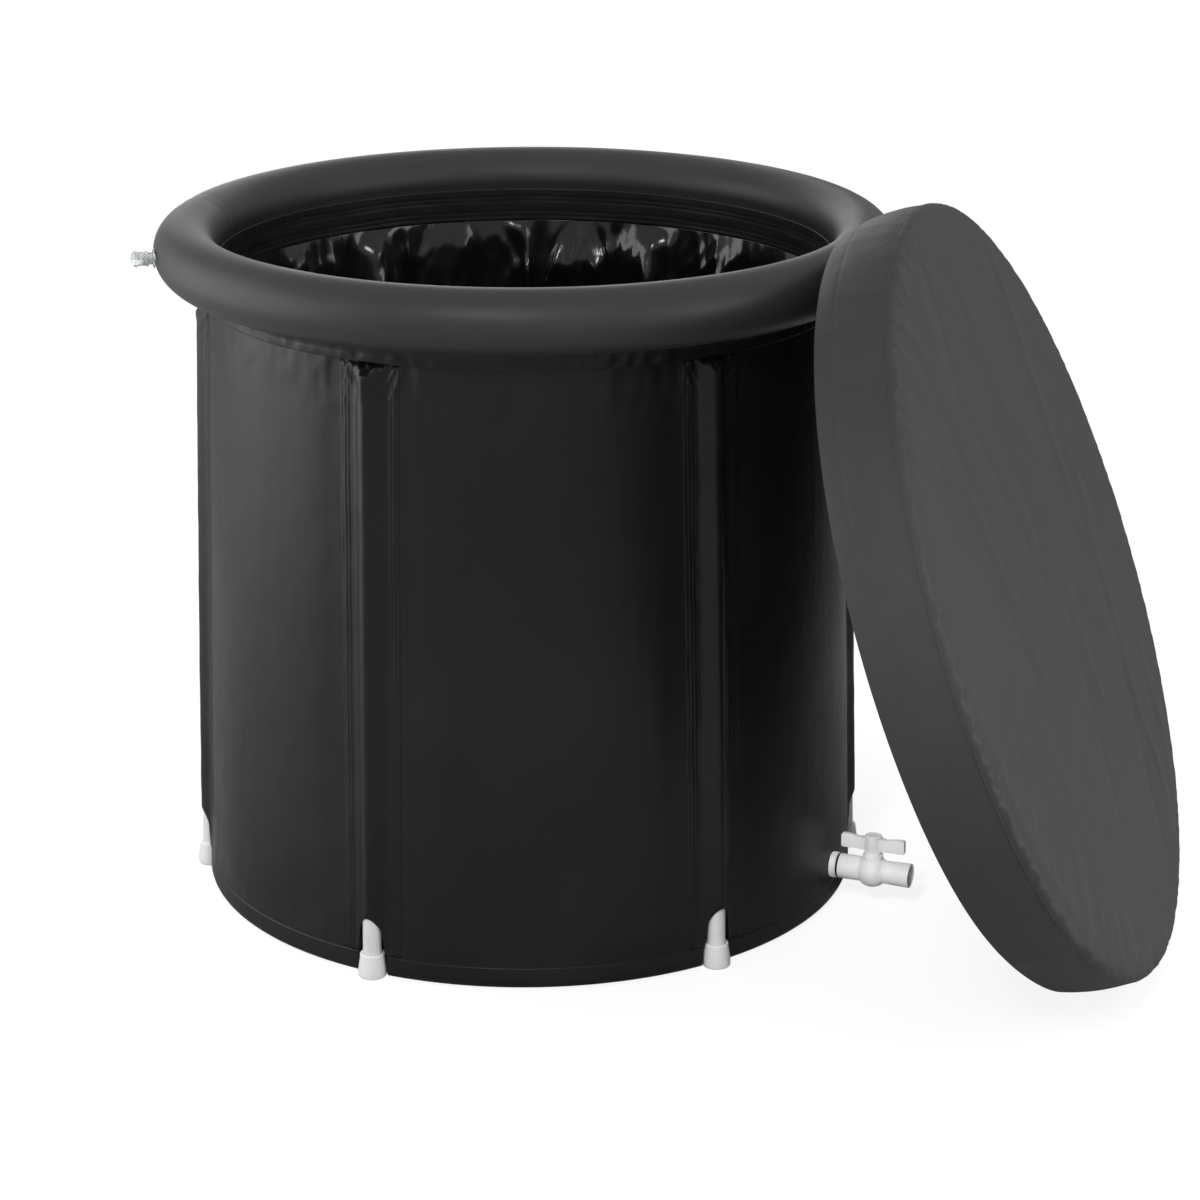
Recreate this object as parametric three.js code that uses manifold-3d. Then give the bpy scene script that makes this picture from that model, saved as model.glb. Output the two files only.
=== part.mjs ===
// Portable cold plunge tub: a soft insulated wall on six poles, hung from an inflated ring, with a
// ball valve at its foot and a padded lid leaning against it.
// Millimetres, +Z up. The origin is on the floor at the tub's axis, and the front faces -Y.
import * as THREE from 'three';
import { mergeVertices } from 'three/addons/utils/BufferGeometryUtils.js';
import Module from 'manifold-3d';

const wasm = await Module();
wasm.setup();

const radians = THREE.MathUtils.degToRad;

// Clearances
const GAP = 0.3;
const LINER_SLACK = 1.5;

// Overall tub
const RING_OUTER_DIAMETER = 800;
const TUB_HEIGHT = 750;
const RING_TUBE_DIAMETER = 68;
const RING_SKIN = 1.2;
const WALL_FLARE = 22;
const YOKE_RISE = 13;
const YOKE_LAP = 8;
const YOKE_CONTACT_START = 240;
const YOKE_CONTACT_END = 262;
const YOKE_WEDGE = 2;

// Layers of the wall and the base
const WALL_SKIN = 1.2;
const FOAM_THICKNESS = 5;
const LINER_SKIN = 1.2;
const BASE_SKIN = 1.2;
const BASE_LAP_HEIGHT = 24;
const BASE_CORNER = 8;
const BAND_SKIN = 1;
const BAND_CONTACT = 16;

// Gathered folds of the liner
const FOLD_DEPTH = 10;
const FOLD_COUNT = 16;
const LESSER_FOLD_COUNT = 25;
const LESSER_FOLD_SHARE = 0.3;
const FOLD_SWAY = 1.4;
const FOLD_SWAY_COUNT = 3;
const LESSER_FOLD_PHASE = 2;

// Poles, their feet and their sleeves
const POLE_COUNT = 6;
const FIRST_POLE_ANGLE = 4;
const POLE_DIAMETER = 20;
const POLE_WALL = 1.7;
const POLE_BELOW_WALL_TOP = 24;
const FOOT_HEIGHT = 26;
const FOOT_WALL = 2.2;
const FOOT_SPREAD = 2.5;
const FOOT_SOLE = 3;
const FOOT_SKIRT = 7.8;
const SLEEVE_SKIN = 1.2;
const SLEEVE_WIDTH = 68;
const SLEEVE_BELOW_YOKE = 1;
const SLEEVE_MOUTH_HEIGHT = 50;
const SLEEVE_MOUTH_ARCH = 18;
const SLEEVE_TOP_SWELL = 0.12;

// Air valve on the ring
const AIR_FLANGE_DIAMETER = 21;
const AIR_FLANGE_THICKNESS = 1.8;
const AIR_NECK_DIAMETER = 13;
const AIR_NECK_LENGTH = 11;
const AIR_STUB_DIAMETER = 10;
const AIR_STUB_LENGTH = 9;
const AIR_BORE = 6.4;
const AIR_CAP_WALL = 1.7;
const AIR_CAP_LENGTH = 17;
const AIR_CAP_LIFT = 5;
const AIR_PLUG_LENGTH = 8;

// Drain fitting and ball valve, measured along the drain's axis
const DRAIN_LIFT = 5;
const DRAIN_BORE = 13;
const SPIGOT_DIAMETER = 21;
const SPIGOT_ENGAGEMENT = 22;
const DRAIN_FLANGE_DIAMETER = 34;
const DRAIN_FLANGE_THICKNESS = 2.5;
const GASKET_THICKNESS = 2;
const LOCK_NUT_DIAMETER = 28;
const LOCK_NUT_LENGTH = 7;
const O_RING_THICKNESS = 2;
const O_RING_INSET = 0.8;
const VALVE_INLET_DIAMETER = 27.5;
const VALVE_THROAT_LENGTH = 3.4;
const VALVE_HOUSING_DIAMETER = 35;
const VALVE_OUTLET_DIAMETER = 27;
const VALVE_OUTLET_TAPER = 0.5;
const VALVE_OUTLET_LENGTH = 26;
const BALL_DIAMETER = 21;
const SEAT_THICKNESS = 3;
const RETAINER_LENGTH = 6;
const RETAINER_SLOT = 3;
const STEM_DIAMETER = 8;
const STEM_COLLAR_DIAMETER = 12;
const STEM_COLLAR_LENGTH = 3;
const STEM_SEAL_LENGTH = 2.5;
const STEM_TANG = 3;
const STEM_TANG_WIDTH = 6.4;
const NECK_WALL = 3.2;
const NECK_RISE = 6.5;
const HANDLE_LENGTH = 72;
const HANDLE_HEIGHT = 14;
const HANDLE_THICKNESS = 6;
const HANDLE_END_RADIUS = 4;
const HUB_DIAMETER = 18;
const HUB_RISE = 2;

// Lid and the way it leans
const LID_HEM_RADIUS = 412;
const LID_SKIRT_HEIGHT = 66;
const LID_SKIRT_BULGE = 3;
const LID_SHOULDER = 14;
const LID_CROWN = 7;
const LID_SKIN = 1.2;
const LID_FOAM_THICKNESS = 14;
const LID_HEM_BAND = 20;
const LID_FACE_STATIONS = [0.8, 0.45, 0];
const LID_LEAN = 20.9;
const LID_TURN = -17.3;
const LID_SIDE_OFFSET = -101;
const LID_REST = -0.1;
const LID_REST_STEP = 0.05;

// Places worked out from the sizes above
const TUBE_RADIUS = RING_TUBE_DIAMETER / 2;
const RING_RADIUS = RING_OUTER_DIAMETER / 2 - TUBE_RADIUS;
const RING_HEIGHT = TUB_HEIGHT - TUBE_RADIUS;
const BAND_RADIUS = RING_RADIUS - (TUBE_RADIUS + GAP) * Math.cos(radians(BAND_CONTACT));
const LINER_INNER_TOP = BAND_RADIUS + GAP;
const WALL_TOP_RADIUS = LINER_INNER_TOP + LINER_SKIN + LINER_SLACK + FOAM_THICKNESS + GAP + WALL_SKIN;
const WALL_TOP = RING_HEIGHT - TUBE_RADIUS - YOKE_RISE;
const POLE_TOP = WALL_TOP - POLE_BELOW_WALL_TOP;
const POLE_RADIUS = POLE_DIAMETER / 2;
const FOOT_TOP_RADIUS = POLE_RADIUS + GAP + FOOT_WALL;
const FOOT_RADIUS = FOOT_TOP_RADIUS + FOOT_SPREAD;
const FLARE_SLOPE = WALL_FLARE / WALL_TOP;
const BASE_RADIUS = WALL_TOP_RADIUS + WALL_FLARE;

// The soft wall is pressed in behind each pole, and further behind its wider foot.
const DENT_FACTOR = 1.22;
const DENT_SHOULDER = 0.56;
const DENT_SPREAD = 1.6;
const TOP_TUCK = 2;
const FOOT_CLEARANCE = 2;
const POLE_DENT = DENT_FACTOR * (POLE_RADIUS + GAP);
const BASE_LAP = GAP + BASE_SKIN;
const FOOT_DENT = DENT_FACTOR * (FOOT_RADIUS + GAP + BASE_LAP);
const DENT_HALF_ANGLE = (DENT_SPREAD * FOOT_RADIUS) / BASE_RADIUS;
const FOOT_DENT_TOP = FOOT_HEIGHT + FOOT_CLEARANCE;
const POLE_DENT_BOTTOM = FOOT_DENT_TOP + FOOT_RADIUS;

// Directions around the tub: those of each pole's dent, then even facets across the panel, which
// the ring's pieces share
const SECTOR = (2 * Math.PI) / POLE_COUNT;
const PANEL_FACETS = 6;
const FACET = (SECTOR - 2 * DENT_HALF_ANGLE) / PANEL_FACETS;
const DENT_STATIONS = [-1, -0.5, 0, 0.5];
const POLE_ANGLES = Array.from({ length: POLE_COUNT }, (_, i) => radians(FIRST_POLE_ANGLE) + i * SECTOR);
const ANGLES = POLE_ANGLES.flatMap((pole) => [
  ...DENT_STATIONS.map((station) => pole + station * DENT_HALF_ANGLE),
  ...Array.from({ length: PANEL_FACETS }, (_, k) => pole + DENT_HALF_ANGLE + k * FACET),
]);
const RING_ANGLES = POLE_ANGLES.flatMap((pole) =>
  Array.from({ length: PANEL_FACETS + 1 }, (_, k) => pole + DENT_HALF_ANGLE + k * FACET));
const facetCentre = (pole, facet) => POLE_ANGLES[pole] + DENT_HALF_ANGLE + (facet + 0.5) * FACET;
const FACET_DEPTH = Math.cos(FACET / 2);

const TUBE_SIDES = 12;
const SMALL_SIDES = 16;
const VALVE_SIDES = 20;
const LID_SIDES = 48;

const FINISHES = {
  coatedBlack: { color: 0x232425, roughness: 0.55, metalness: 0 },
  ringCharcoal: { color: 0x3a3b3c, roughness: 0.6, metalness: 0 },
  glossLiner: { color: 0x0b0b0c, roughness: 0.25, metalness: 0 },
  lidCloth: { color: 0x3d3d3e, roughness: 0.8, metalness: 0 },
  foam: { color: 0xd9d8d2, roughness: 0.9, metalness: 0 },
  whitePlastic: { color: 0xf2f2f0, roughness: 0.4, metalness: 0 },
  clearPlastic: { color: 0xe6eaec, roughness: 0.15, metalness: 0, transparent: true, opacity: 0.6 },
  blackRubber: { color: 0x141414, roughness: 0.7, metalness: 0 },
  sealWhite: { color: 0xe9e9e4, roughness: 0.5, metalness: 0 },
};

// Geometry helpers

const polar = (radius, angle, z) =>
  new THREE.Vector3(radius * Math.cos(angle), radius * Math.sin(angle), z);

function signedVolume(geometry) {
  const position = geometry.getAttribute('position');
  const index = geometry.getIndex();
  const corners = [new THREE.Vector3(), new THREE.Vector3(), new THREE.Vector3()];
  let volume = 0;
  for (let i = 0; i < index.count; i += 3) {
    corners.forEach((corner, k) => corner.fromBufferAttribute(position, index.getX(i + k)));
    volume += corners[0].dot(corners[1].clone().cross(corners[2])) / 6;
  }
  return volume;
}

// Joins shared vertices, drops the empty triangles at poles and turns every face outwards.
function closed(geometry) {
  geometry.deleteAttribute('normal');
  geometry.deleteAttribute('uv');
  const welded = mergeVertices(geometry, 1e-4);
  const corners = Array.from(welded.getIndex().array);
  const kept = [];
  for (let i = 0; i < corners.length; i += 3) {
    const [a, b, c] = corners.slice(i, i + 3);
    if (a !== b && b !== c && c !== a) kept.push(a, b, c);
  }
  welded.setIndex(kept);
  if (signedVolume(welded) < 0) welded.setIndex(kept.reverse());
  return welded;
}

// A sheet with thickness between two grids of points, [column][row], joined along their free edges.
function thickSheet(outer, inner, around) {
  const points = [];
  const triangles = [];
  const number = (grid) => grid.map((column) => column.map((point) => points.push(point) - 1));
  const quad = (a, b, c, d) => triangles.push(a, b, c, a, c, d);
  const front = number(outer);
  const back = number(inner);
  const columns = outer.length;
  const spans = around ? columns : columns - 1;
  for (let i = 0; i < spans; i++) {
    const j = (i + 1) % columns;
    for (let k = 0; k + 1 < front[i].length; k++) {
      quad(front[i][k], front[j][k], front[j][k + 1], front[i][k + 1]);
    }
    for (let k = 0; k + 1 < back[i].length; k++) {
      quad(back[i][k], back[i][k + 1], back[j][k + 1], back[j][k]);
    }
    quad(back[i][0], back[j][0], front[j][0], front[i][0]);
    quad(front[i].at(-1), front[j].at(-1), back[j].at(-1), back[i].at(-1));
  }
  if (!around) {
    const last = columns - 1;
    for (let k = 0; k + 1 < front[0].length; k++) {
      quad(back[0][k], front[0][k], front[0][k + 1], back[0][k + 1]);
      quad(front[last][k], back[last][k], back[last][k + 1], front[last][k + 1]);
    }
  }
  const geometry = new THREE.BufferGeometry().setFromPoints(points);
  geometry.setIndex(triangles);
  return closed(geometry);
}

// A shell around the tub's axis from two profiles, each a list of [radius, z] for an angle.
function shellAround(outerAt, innerAt, angles = ANGLES) {
  const grid = (profileAt) => angles.map((a) => profileAt(a).map(([r, z]) => polar(r, a, z)));
  return thickSheet(grid(outerAt), grid(innerAt), true);
}

// The ring's tube, closed both ways
function ringTube(tubeRadius) {
  const points = [];
  const triangles = [];
  RING_ANGLES.forEach((angle, i) => {
    const j = (i + 1) % RING_ANGLES.length;
    for (let k = 0; k < TUBE_SIDES; k++) {
      const turn = (2 * Math.PI * k) / TUBE_SIDES;
      const radius = RING_RADIUS + tubeRadius * Math.cos(turn);
      points.push(polar(radius, angle, RING_HEIGHT + tubeRadius * Math.sin(turn)));
      const next = (k + 1) % TUBE_SIDES;
      const [a, b] = [i * TUBE_SIDES + k, j * TUBE_SIDES + k];
      const [c, d] = [j * TUBE_SIDES + next, i * TUBE_SIDES + next];
      triangles.push(a, b, c, a, c, d);
    }
  });
  const geometry = new THREE.BufferGeometry().setFromPoints(points);
  geometry.setIndex(triangles);
  return closed(geometry);
}

// A solid of revolution about +Z from [radius, z] points
function turned(profile, sides) {
  const points = profile.map(([radius, z]) => new THREE.Vector2(radius, z));
  return closed(new THREE.LatheGeometry(points, sides).rotateX(Math.PI / 2));
}

const turnedRing = (profile, sides) => turned([...profile, profile[0]], sides);

// The same about +X, with the profile as [radius, x]
const alongX = (geometry) => geometry.rotateY(Math.PI / 2);

function toSolid(geometry) {
  const vertProperties = new Float32Array(geometry.getAttribute('position').array);
  const triVerts = new Uint32Array(geometry.getIndex().array);
  return new wasm.Manifold(new wasm.Mesh({ numProp: 3, vertProperties, triVerts }));
}

function toGeometry(solid) {
  const mesh = solid.getMesh();
  const geometry = new THREE.BufferGeometry();
  geometry.setAttribute('position', new THREE.BufferAttribute(mesh.vertProperties, 3));
  geometry.setIndex(new THREE.BufferAttribute(mesh.triVerts, 1));
  return geometry;
}

function cut(geometry, ...tools) {
  return toGeometry(tools.reduce((solid, tool) => solid.subtract(toSolid(tool)), toSolid(geometry)));
}

const join = (first, second) => toGeometry(toSolid(first).add(toSolid(second)));

const tub = new THREE.Group();

function addPart(parent, name, geometry, finish) {
  geometry.computeVertexNormals();
  const mesh = new THREE.Mesh(geometry, new THREE.MeshStandardMaterial(FINISHES[finish]));
  mesh.name = name;
  parent.add(mesh);
  return mesh;
}

// Shape of the wall: a mild flare, pressed in at the poles

const flaredRadius = (z) => BASE_RADIUS - FLARE_SLOPE * z;

function dentDepth(z) {
  if (z <= FOOT_DENT_TOP) return FOOT_DENT;
  if (z <= POLE_DENT_BOTTOM) {
    return THREE.MathUtils.mapLinear(z, FOOT_DENT_TOP, POLE_DENT_BOTTOM, FOOT_DENT, POLE_DENT);
  }
  if (z <= POLE_TOP) return POLE_DENT;
  return THREE.MathUtils.mapLinear(z, POLE_TOP, WALL_TOP, POLE_DENT, TOP_TUCK);
}

function dentShare(angle) {
  const turn = THREE.MathUtils.euclideanModulo(angle - POLE_ANGLES[0] + SECTOR / 2, SECTOR) - SECTOR / 2;
  const across = Math.min(1, Math.abs(turn) / DENT_HALF_ANGLE);
  if (across > 0.5) return 2 * DENT_SHOULDER * (1 - across);
  return THREE.MathUtils.lerp(1, DENT_SHOULDER, 2 * across);
}

const wallRadius = (angle, z) => flaredRadius(z) - dentDepth(z) * dentShare(angle);

// Inside the outer wall, the layers hang straight from the pole's dent to the deeper dent of the foot.
function innerDent(z) {
  if (z <= POLE_DENT_BOTTOM) return FOOT_DENT;
  if (z <= POLE_TOP) {
    return THREE.MathUtils.mapLinear(z, POLE_DENT_BOTTOM, POLE_TOP, FOOT_DENT, POLE_DENT);
  }
  return dentDepth(z);
}

const layerRadius = (angle, z, depth) => flaredRadius(z) - depth - innerDent(z) * dentShare(angle);

const WALL_BOTTOM = BASE_CORNER + GAP;
const FLOOR_TOP = BASE_SKIN + GAP + LINER_SKIN;
const LINER_BOTTOM = FLOOR_TOP + GAP;
const FOAM_DEPTH = WALL_SKIN + GAP;
const LINER_DEPTH = FOAM_DEPTH + FOAM_THICKNESS + LINER_SLACK;

// Drain place: the middle of a facet to the right of the front, just above the base's lap

const DRAIN_HEIGHT = BASE_LAP_HEIGHT + DRAIN_LIFT + LOCK_NUT_DIAMETER / 2;
const DRAIN_ANGLE = facetCentre(POLE_COUNT - 1, 3);
const SPIGOT_RADIUS = SPIGOT_DIAMETER / 2;
const DRAIN_HOLE_RADIUS = SPIGOT_RADIUS + GAP;
const drain = new THREE.Group();
drain.position.copy(polar(flaredRadius(DRAIN_HEIGHT) * FACET_DEPTH, DRAIN_ANGLE, DRAIN_HEIGHT));
drain.rotation.z = DRAIN_ANGLE;
drain.updateMatrixWorld();

function drainDrill() {
  const reach = LINER_DEPTH + LINER_SKIN + FOLD_DEPTH;
  const drill = new THREE.CylinderGeometry(DRAIN_HOLE_RADIUS, DRAIN_HOLE_RADIUS, 2 * reach, VALVE_SIDES);
  return closed(drill.rotateZ(Math.PI / 2).applyMatrix4(drain.matrixWorld));
}

function addWall() {
  const heights = [WALL_BOTTOM, FOOT_DENT_TOP, POLE_DENT_BOTTOM, POLE_TOP, WALL_TOP];
  const skin = (depth) => (angle) => heights.map((z) => [wallRadius(angle, z) - depth, z]);
  addPart(tub, 'outer_wall', cut(shellAround(skin(0), skin(WALL_SKIN)), drainDrill()), 'coatedBlack');
}

// The liner hangs from its welded top edge in gathered folds, deepest just under it.

const FOLD_START = POLE_DENT_BOTTOM;

function foldDepth(angle, z) {
  const rise = THREE.MathUtils.smoothstep(z, FOLD_START, POLE_TOP);
  const fall = 1 - THREE.MathUtils.smoothstep(z, POLE_TOP, WALL_TOP);
  const wave = (turn) => 0.5 + 0.5 * Math.cos(turn);
  const main = wave(FOLD_COUNT * angle + FOLD_SWAY * Math.sin(FOLD_SWAY_COUNT * angle));
  const lesser = wave(LESSER_FOLD_COUNT * angle + LESSER_FOLD_PHASE);
  return FOLD_DEPTH * rise * fall * THREE.MathUtils.lerp(main, lesser, LESSER_FOLD_SHARE);
}

function addInsulation() {
  const heights = [WALL_BOTTOM, POLE_DENT_BOTTOM, POLE_TOP];
  const side = (depth) => (angle) => heights.map((z) => [layerRadius(angle, z, depth), z]);
  const foam = shellAround(side(FOAM_DEPTH), side(FOAM_DEPTH + FOAM_THICKNESS));
  addPart(tub, 'wall_insulation', cut(foam, drainDrill()), 'foam');
}

function addLiner() {
  const between = ANGLES.map((a, i) => (a + (ANGLES[i + 1] ?? ANGLES[0] + 2 * Math.PI)) / 2);
  const angles = ANGLES.flatMap((a, i) => [a, between[i]]);
  const outerHeights = [LINER_BOTTOM, POLE_DENT_BOTTOM, POLE_TOP, WALL_TOP];
  const middle = (FOLD_START + POLE_TOP) / 2;
  const innerHeights = [LINER_BOTTOM, POLE_DENT_BOTTOM, middle, POLE_TOP, WALL_TOP];
  const hung = LINER_DEPTH + LINER_SKIN;
  const outer = (angle) => outerHeights.map((z) => [layerRadius(angle, z, LINER_DEPTH), z]);
  const inner = (angle) => innerHeights.map((z) => [layerRadius(angle, z, hung) - foldDepth(angle, z), z]);
  const liner = shellAround(outer, inner, angles);
  addPart(tub, 'inner_liner', cut(liner, drainDrill()), 'glossLiner');
  const floorEdge = Math.max(LINER_DEPTH, BASE_CORNER + BASE_SKIN);
  const floor = (z) => (angle) => [[0, z], [wallRadius(angle, z) - floorEdge, z]];
  addPart(tub, 'liner_floor', shellAround(floor(BASE_SKIN + GAP), floor(FLOOR_TOP)), 'glossLiner');
}

// A flat base panel, and a band around its corner that laps the foot of the wall
function addBase() {
  const discEdge = (angle) => wallRadius(angle, 0) - BASE_CORNER;
  const disc = (z) => (angle) => [[0, z], [discEdge(angle), z]];
  addPart(tub, 'base_panel', shellAround(disc(0), disc(BASE_SKIN)), 'coatedBlack');
  const outer = (angle) => [
    [discEdge(angle) + GAP, 0],
    [wallRadius(angle, BASE_CORNER) + BASE_LAP, BASE_CORNER],
    [wallRadius(angle, BASE_LAP_HEIGHT) + BASE_LAP, BASE_LAP_HEIGHT],
  ];
  const inner = (angle) => [
    [discEdge(angle) + GAP, BASE_SKIN],
    [wallRadius(angle, WALL_BOTTOM) + GAP, WALL_BOTTOM],
    [wallRadius(angle, BASE_LAP_HEIGHT) + GAP, BASE_LAP_HEIGHT],
  ];
  addPart(tub, 'base_weld_band', shellAround(outer, inner), 'coatedBlack');
}

// Inflated ring, with the yoke that hangs the wall from it and the band that hangs the liner

const onTube = (degrees, radius) => [
  RING_RADIUS + radius * Math.cos(radians(degrees)),
  RING_HEIGHT + radius * Math.sin(radians(degrees)),
];

const AIR_ANGLE = facetCentre(POLE_COUNT / 2, 0);
const airValve = new THREE.Group();
airValve.position.copy(polar((RING_RADIUS + TUBE_RADIUS) * FACET_DEPTH, AIR_ANGLE, RING_HEIGHT));
airValve.rotation.z = AIR_ANGLE;
airValve.updateMatrixWorld();

function addRing() {
  const portRadius = AIR_STUB_DIAMETER / 2 + GAP;
  const port = new THREE.CylinderGeometry(portRadius, portRadius, TUBE_RADIUS, SMALL_SIDES);
  port.rotateZ(Math.PI / 2).applyMatrix4(airValve.matrixWorld);
  const ring = cut(ringTube(TUBE_RADIUS), ringTube(TUBE_RADIUS - RING_SKIN), closed(port));
  addPart(tub, 'air_ring', ring, 'ringCharcoal');

  const lapBottom = WALL_TOP - YOKE_LAP;
  const lapRadius = flaredRadius(lapBottom) + GAP;
  const seat = TUBE_RADIUS + GAP;
  const yokeOuter = () => [
    [lapRadius + WALL_SKIN, lapBottom],
    [lapRadius + WALL_SKIN, WALL_TOP + WALL_SKIN],
    onTube(YOKE_CONTACT_START + YOKE_WEDGE, seat + WALL_SKIN),
    onTube(YOKE_CONTACT_END, seat + WALL_SKIN),
  ];
  const yokeInner = () => [
    [lapRadius, lapBottom],
    [lapRadius, WALL_TOP + WALL_SKIN],
    onTube(YOKE_CONTACT_START, seat),
    onTube(YOKE_CONTACT_END, seat),
  ];
  addPart(tub, 'ring_yoke', shellAround(yokeOuter, yokeInner, RING_ANGLES), 'coatedBlack');

  const bandTop = RING_HEIGHT - seat * Math.sin(radians(BAND_CONTACT));
  const band = (radius) => () => [[radius, WALL_TOP + GAP], [radius, bandTop]];
  const bandShell = shellAround(band(BAND_RADIUS), band(BAND_RADIUS - BAND_SKIN), RING_ANGLES);
  addPart(tub, 'liner_band', bandShell, 'glossLiner');
}

// Each pole's frame has +X outwards and leans with the wall, so its foot stays flat on the floor.

const lean = new THREE.Matrix4().makeShear(0, 0, 0, 0, -FLARE_SLOPE, 0);

function poleGeometry() {
  const bore = POLE_RADIUS - POLE_WALL;
  const bottom = FOOT_SOLE + GAP;
  const profile = [[bore, bottom], [POLE_RADIUS, bottom], [POLE_RADIUS, POLE_TOP], [bore, POLE_TOP]];
  return turnedRing(profile, TUBE_SIDES).applyMatrix4(lean);
}

function footGeometry() {
  const socket = POLE_RADIUS + GAP;
  const profile = [
    [0, 0], [FOOT_RADIUS, 0], [FOOT_RADIUS, FOOT_SKIRT], [FOOT_TOP_RADIUS, FOOT_HEIGHT],
    [socket, FOOT_HEIGHT], [socket, FOOT_SOLE], [0, FOOT_SOLE],
  ];
  return turned(profile, TUBE_SIDES).applyMatrix4(lean);
}

// A strip welded along both edges, raised over the pole, closed at its top and arched at its mouth
function sleeveGeometry() {
  const half = SLEEVE_WIDTH / 2;
  const stations = [-1, -0.72, -0.45, -0.2, 0, 0.2, 0.45, 0.72, 1];
  const top = WALL_TOP - YOKE_LAP - SLEEVE_BELOW_YOKE;
  const bridge = SLEEVE_MOUTH_HEIGHT + 2 * SLEEVE_MOUTH_ARCH;
  const sheet = (lift) => stations.map((station) => {
    const side = station * half;
    const swell = 0.5 + 0.5 * Math.cos(Math.PI * station);
    const mouth = SLEEVE_MOUTH_HEIGHT + SLEEVE_MOUTH_ARCH * swell ** 2;
    const rows = [[mouth, 1], [bridge, 1], [POLE_TOP + GAP, 1], [top, SLEEVE_TOP_SWELL]];
    return rows.map(([z, share]) => {
      const onWall = Math.sqrt(flaredRadius(z) ** 2 - side ** 2);
      const over = (POLE_RADIUS + GAP) * swell * share;
      return new THREE.Vector3(onWall + GAP + over + lift, side, z);
    });
  });
  return thickSheet(sheet(SLEEVE_SKIN), sheet(0), false);
}

function addPoles() {
  POLE_ANGLES.forEach((angle, i) => {
    const upright = new THREE.Group();
    upright.rotation.z = angle;
    tub.add(upright);
    const stand = new THREE.Group();
    stand.position.x = BASE_RADIUS;
    upright.add(stand);
    addPart(stand, `support_pole_${i + 1}`, poleGeometry(), 'whitePlastic');
    addPart(stand, `pole_foot_${i + 1}`, footGeometry(), 'whitePlastic');
    addPart(upright, `pole_sleeve_${i + 1}`, sleeveGeometry(), 'coatedBlack');
  });
}

// Air valve along +X from the ring's outside, with a cap whose plug stops the bore

function addAirValve() {
  tub.add(airValve);
  const bore = AIR_BORE / 2;
  const stub = AIR_STUB_DIAMETER / 2;
  const neck = AIR_NECK_DIAMETER / 2;
  const flange = AIR_FLANGE_DIAMETER / 2;
  const flangeFace = GAP + AIR_FLANGE_THICKNESS;
  const neckEnd = flangeFace + AIR_NECK_LENGTH;
  const base = [
    [bore, -AIR_STUB_LENGTH], [stub, -AIR_STUB_LENGTH], [stub, GAP], [flange, GAP],
    [flange, flangeFace], [neck, flangeFace], [neck, neckEnd], [bore, neckEnd],
  ];
  addPart(airValve, 'air_valve_base', alongX(turnedRing(base, SMALL_SIDES)), 'clearPlastic');

  const plug = bore - GAP;
  const capBore = neck + GAP;
  const cap = capBore + AIR_CAP_WALL;
  const capStart = flangeFace + AIR_CAP_LIFT;
  const capEnd = capStart + AIR_CAP_LENGTH;
  const seat = neckEnd + GAP;
  const chamfer = AIR_CAP_WALL;
  const lid = [
    [0, seat - AIR_PLUG_LENGTH], [plug, seat - AIR_PLUG_LENGTH], [plug, seat], [capBore, seat],
    [capBore, capStart], [cap, capStart], [cap, capEnd - chamfer], [cap - chamfer, capEnd], [0, capEnd],
  ];
  addPart(airValve, 'air_valve_plug', alongX(turned(lid, SMALL_SIDES)), 'clearPlastic');
}

// Drain: a flanged spigot through the wall, clamped by a lock nut, with the ball valve on its end

const NUT_RADIUS = LOCK_NUT_DIAMETER / 2;
const NUT_FACE = NUT_RADIUS * FLARE_SLOPE + GAP;
const NUT_END = NUT_FACE + LOCK_NUT_LENGTH;
const BODY_START = NUT_END + 2 * GAP + O_RING_THICKNESS;
const SPIGOT_END = BODY_START + SPIGOT_ENGAGEMENT;
const SOCKET_END = SPIGOT_END + GAP;
const THROAT_END = SOCKET_END + VALVE_THROAT_LENGTH;
const BALL_RADIUS = BALL_DIAMETER / 2;
const CAVITY_RADIUS = BALL_RADIUS + GAP;
const FLOW_RADIUS = DRAIN_BORE / 2;
const SEAT_REACH = Math.sqrt((BALL_RADIUS + GAP) ** 2 - (FLOW_RADIUS + GAP) ** 2);
const STEM_PLACE = THROAT_END + GAP + SEAT_THICKNESS + SEAT_REACH;
const HOUSING_RADIUS = VALVE_HOUSING_DIAMETER / 2;
const OUTLET_END = STEM_PLACE + HOUSING_RADIUS + VALVE_OUTLET_LENGTH;
const OUTLET_RADIUS = VALVE_OUTLET_DIAMETER / 2;
const STEM_RADIUS = STEM_DIAMETER / 2;
const COLLAR_RADIUS = STEM_COLLAR_DIAMETER / 2;
const NECK_RADIUS = COLLAR_RADIUS + GAP + NECK_WALL;
const NECK_TOP = HOUSING_RADIUS + NECK_RISE;
const SEAL_TOP = NECK_TOP - GAP - STEM_COLLAR_LENGTH;
const SEAL_BOTTOM = SEAL_TOP - STEM_SEAL_LENGTH - GAP;
const HANDLE_BOTTOM = NECK_TOP + GAP;
const HANDLE_TOP = HANDLE_BOTTOM + HANDLE_HEIGHT;
const STEM_TOP = HANDLE_TOP - HANDLE_HEIGHT / 4;

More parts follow.
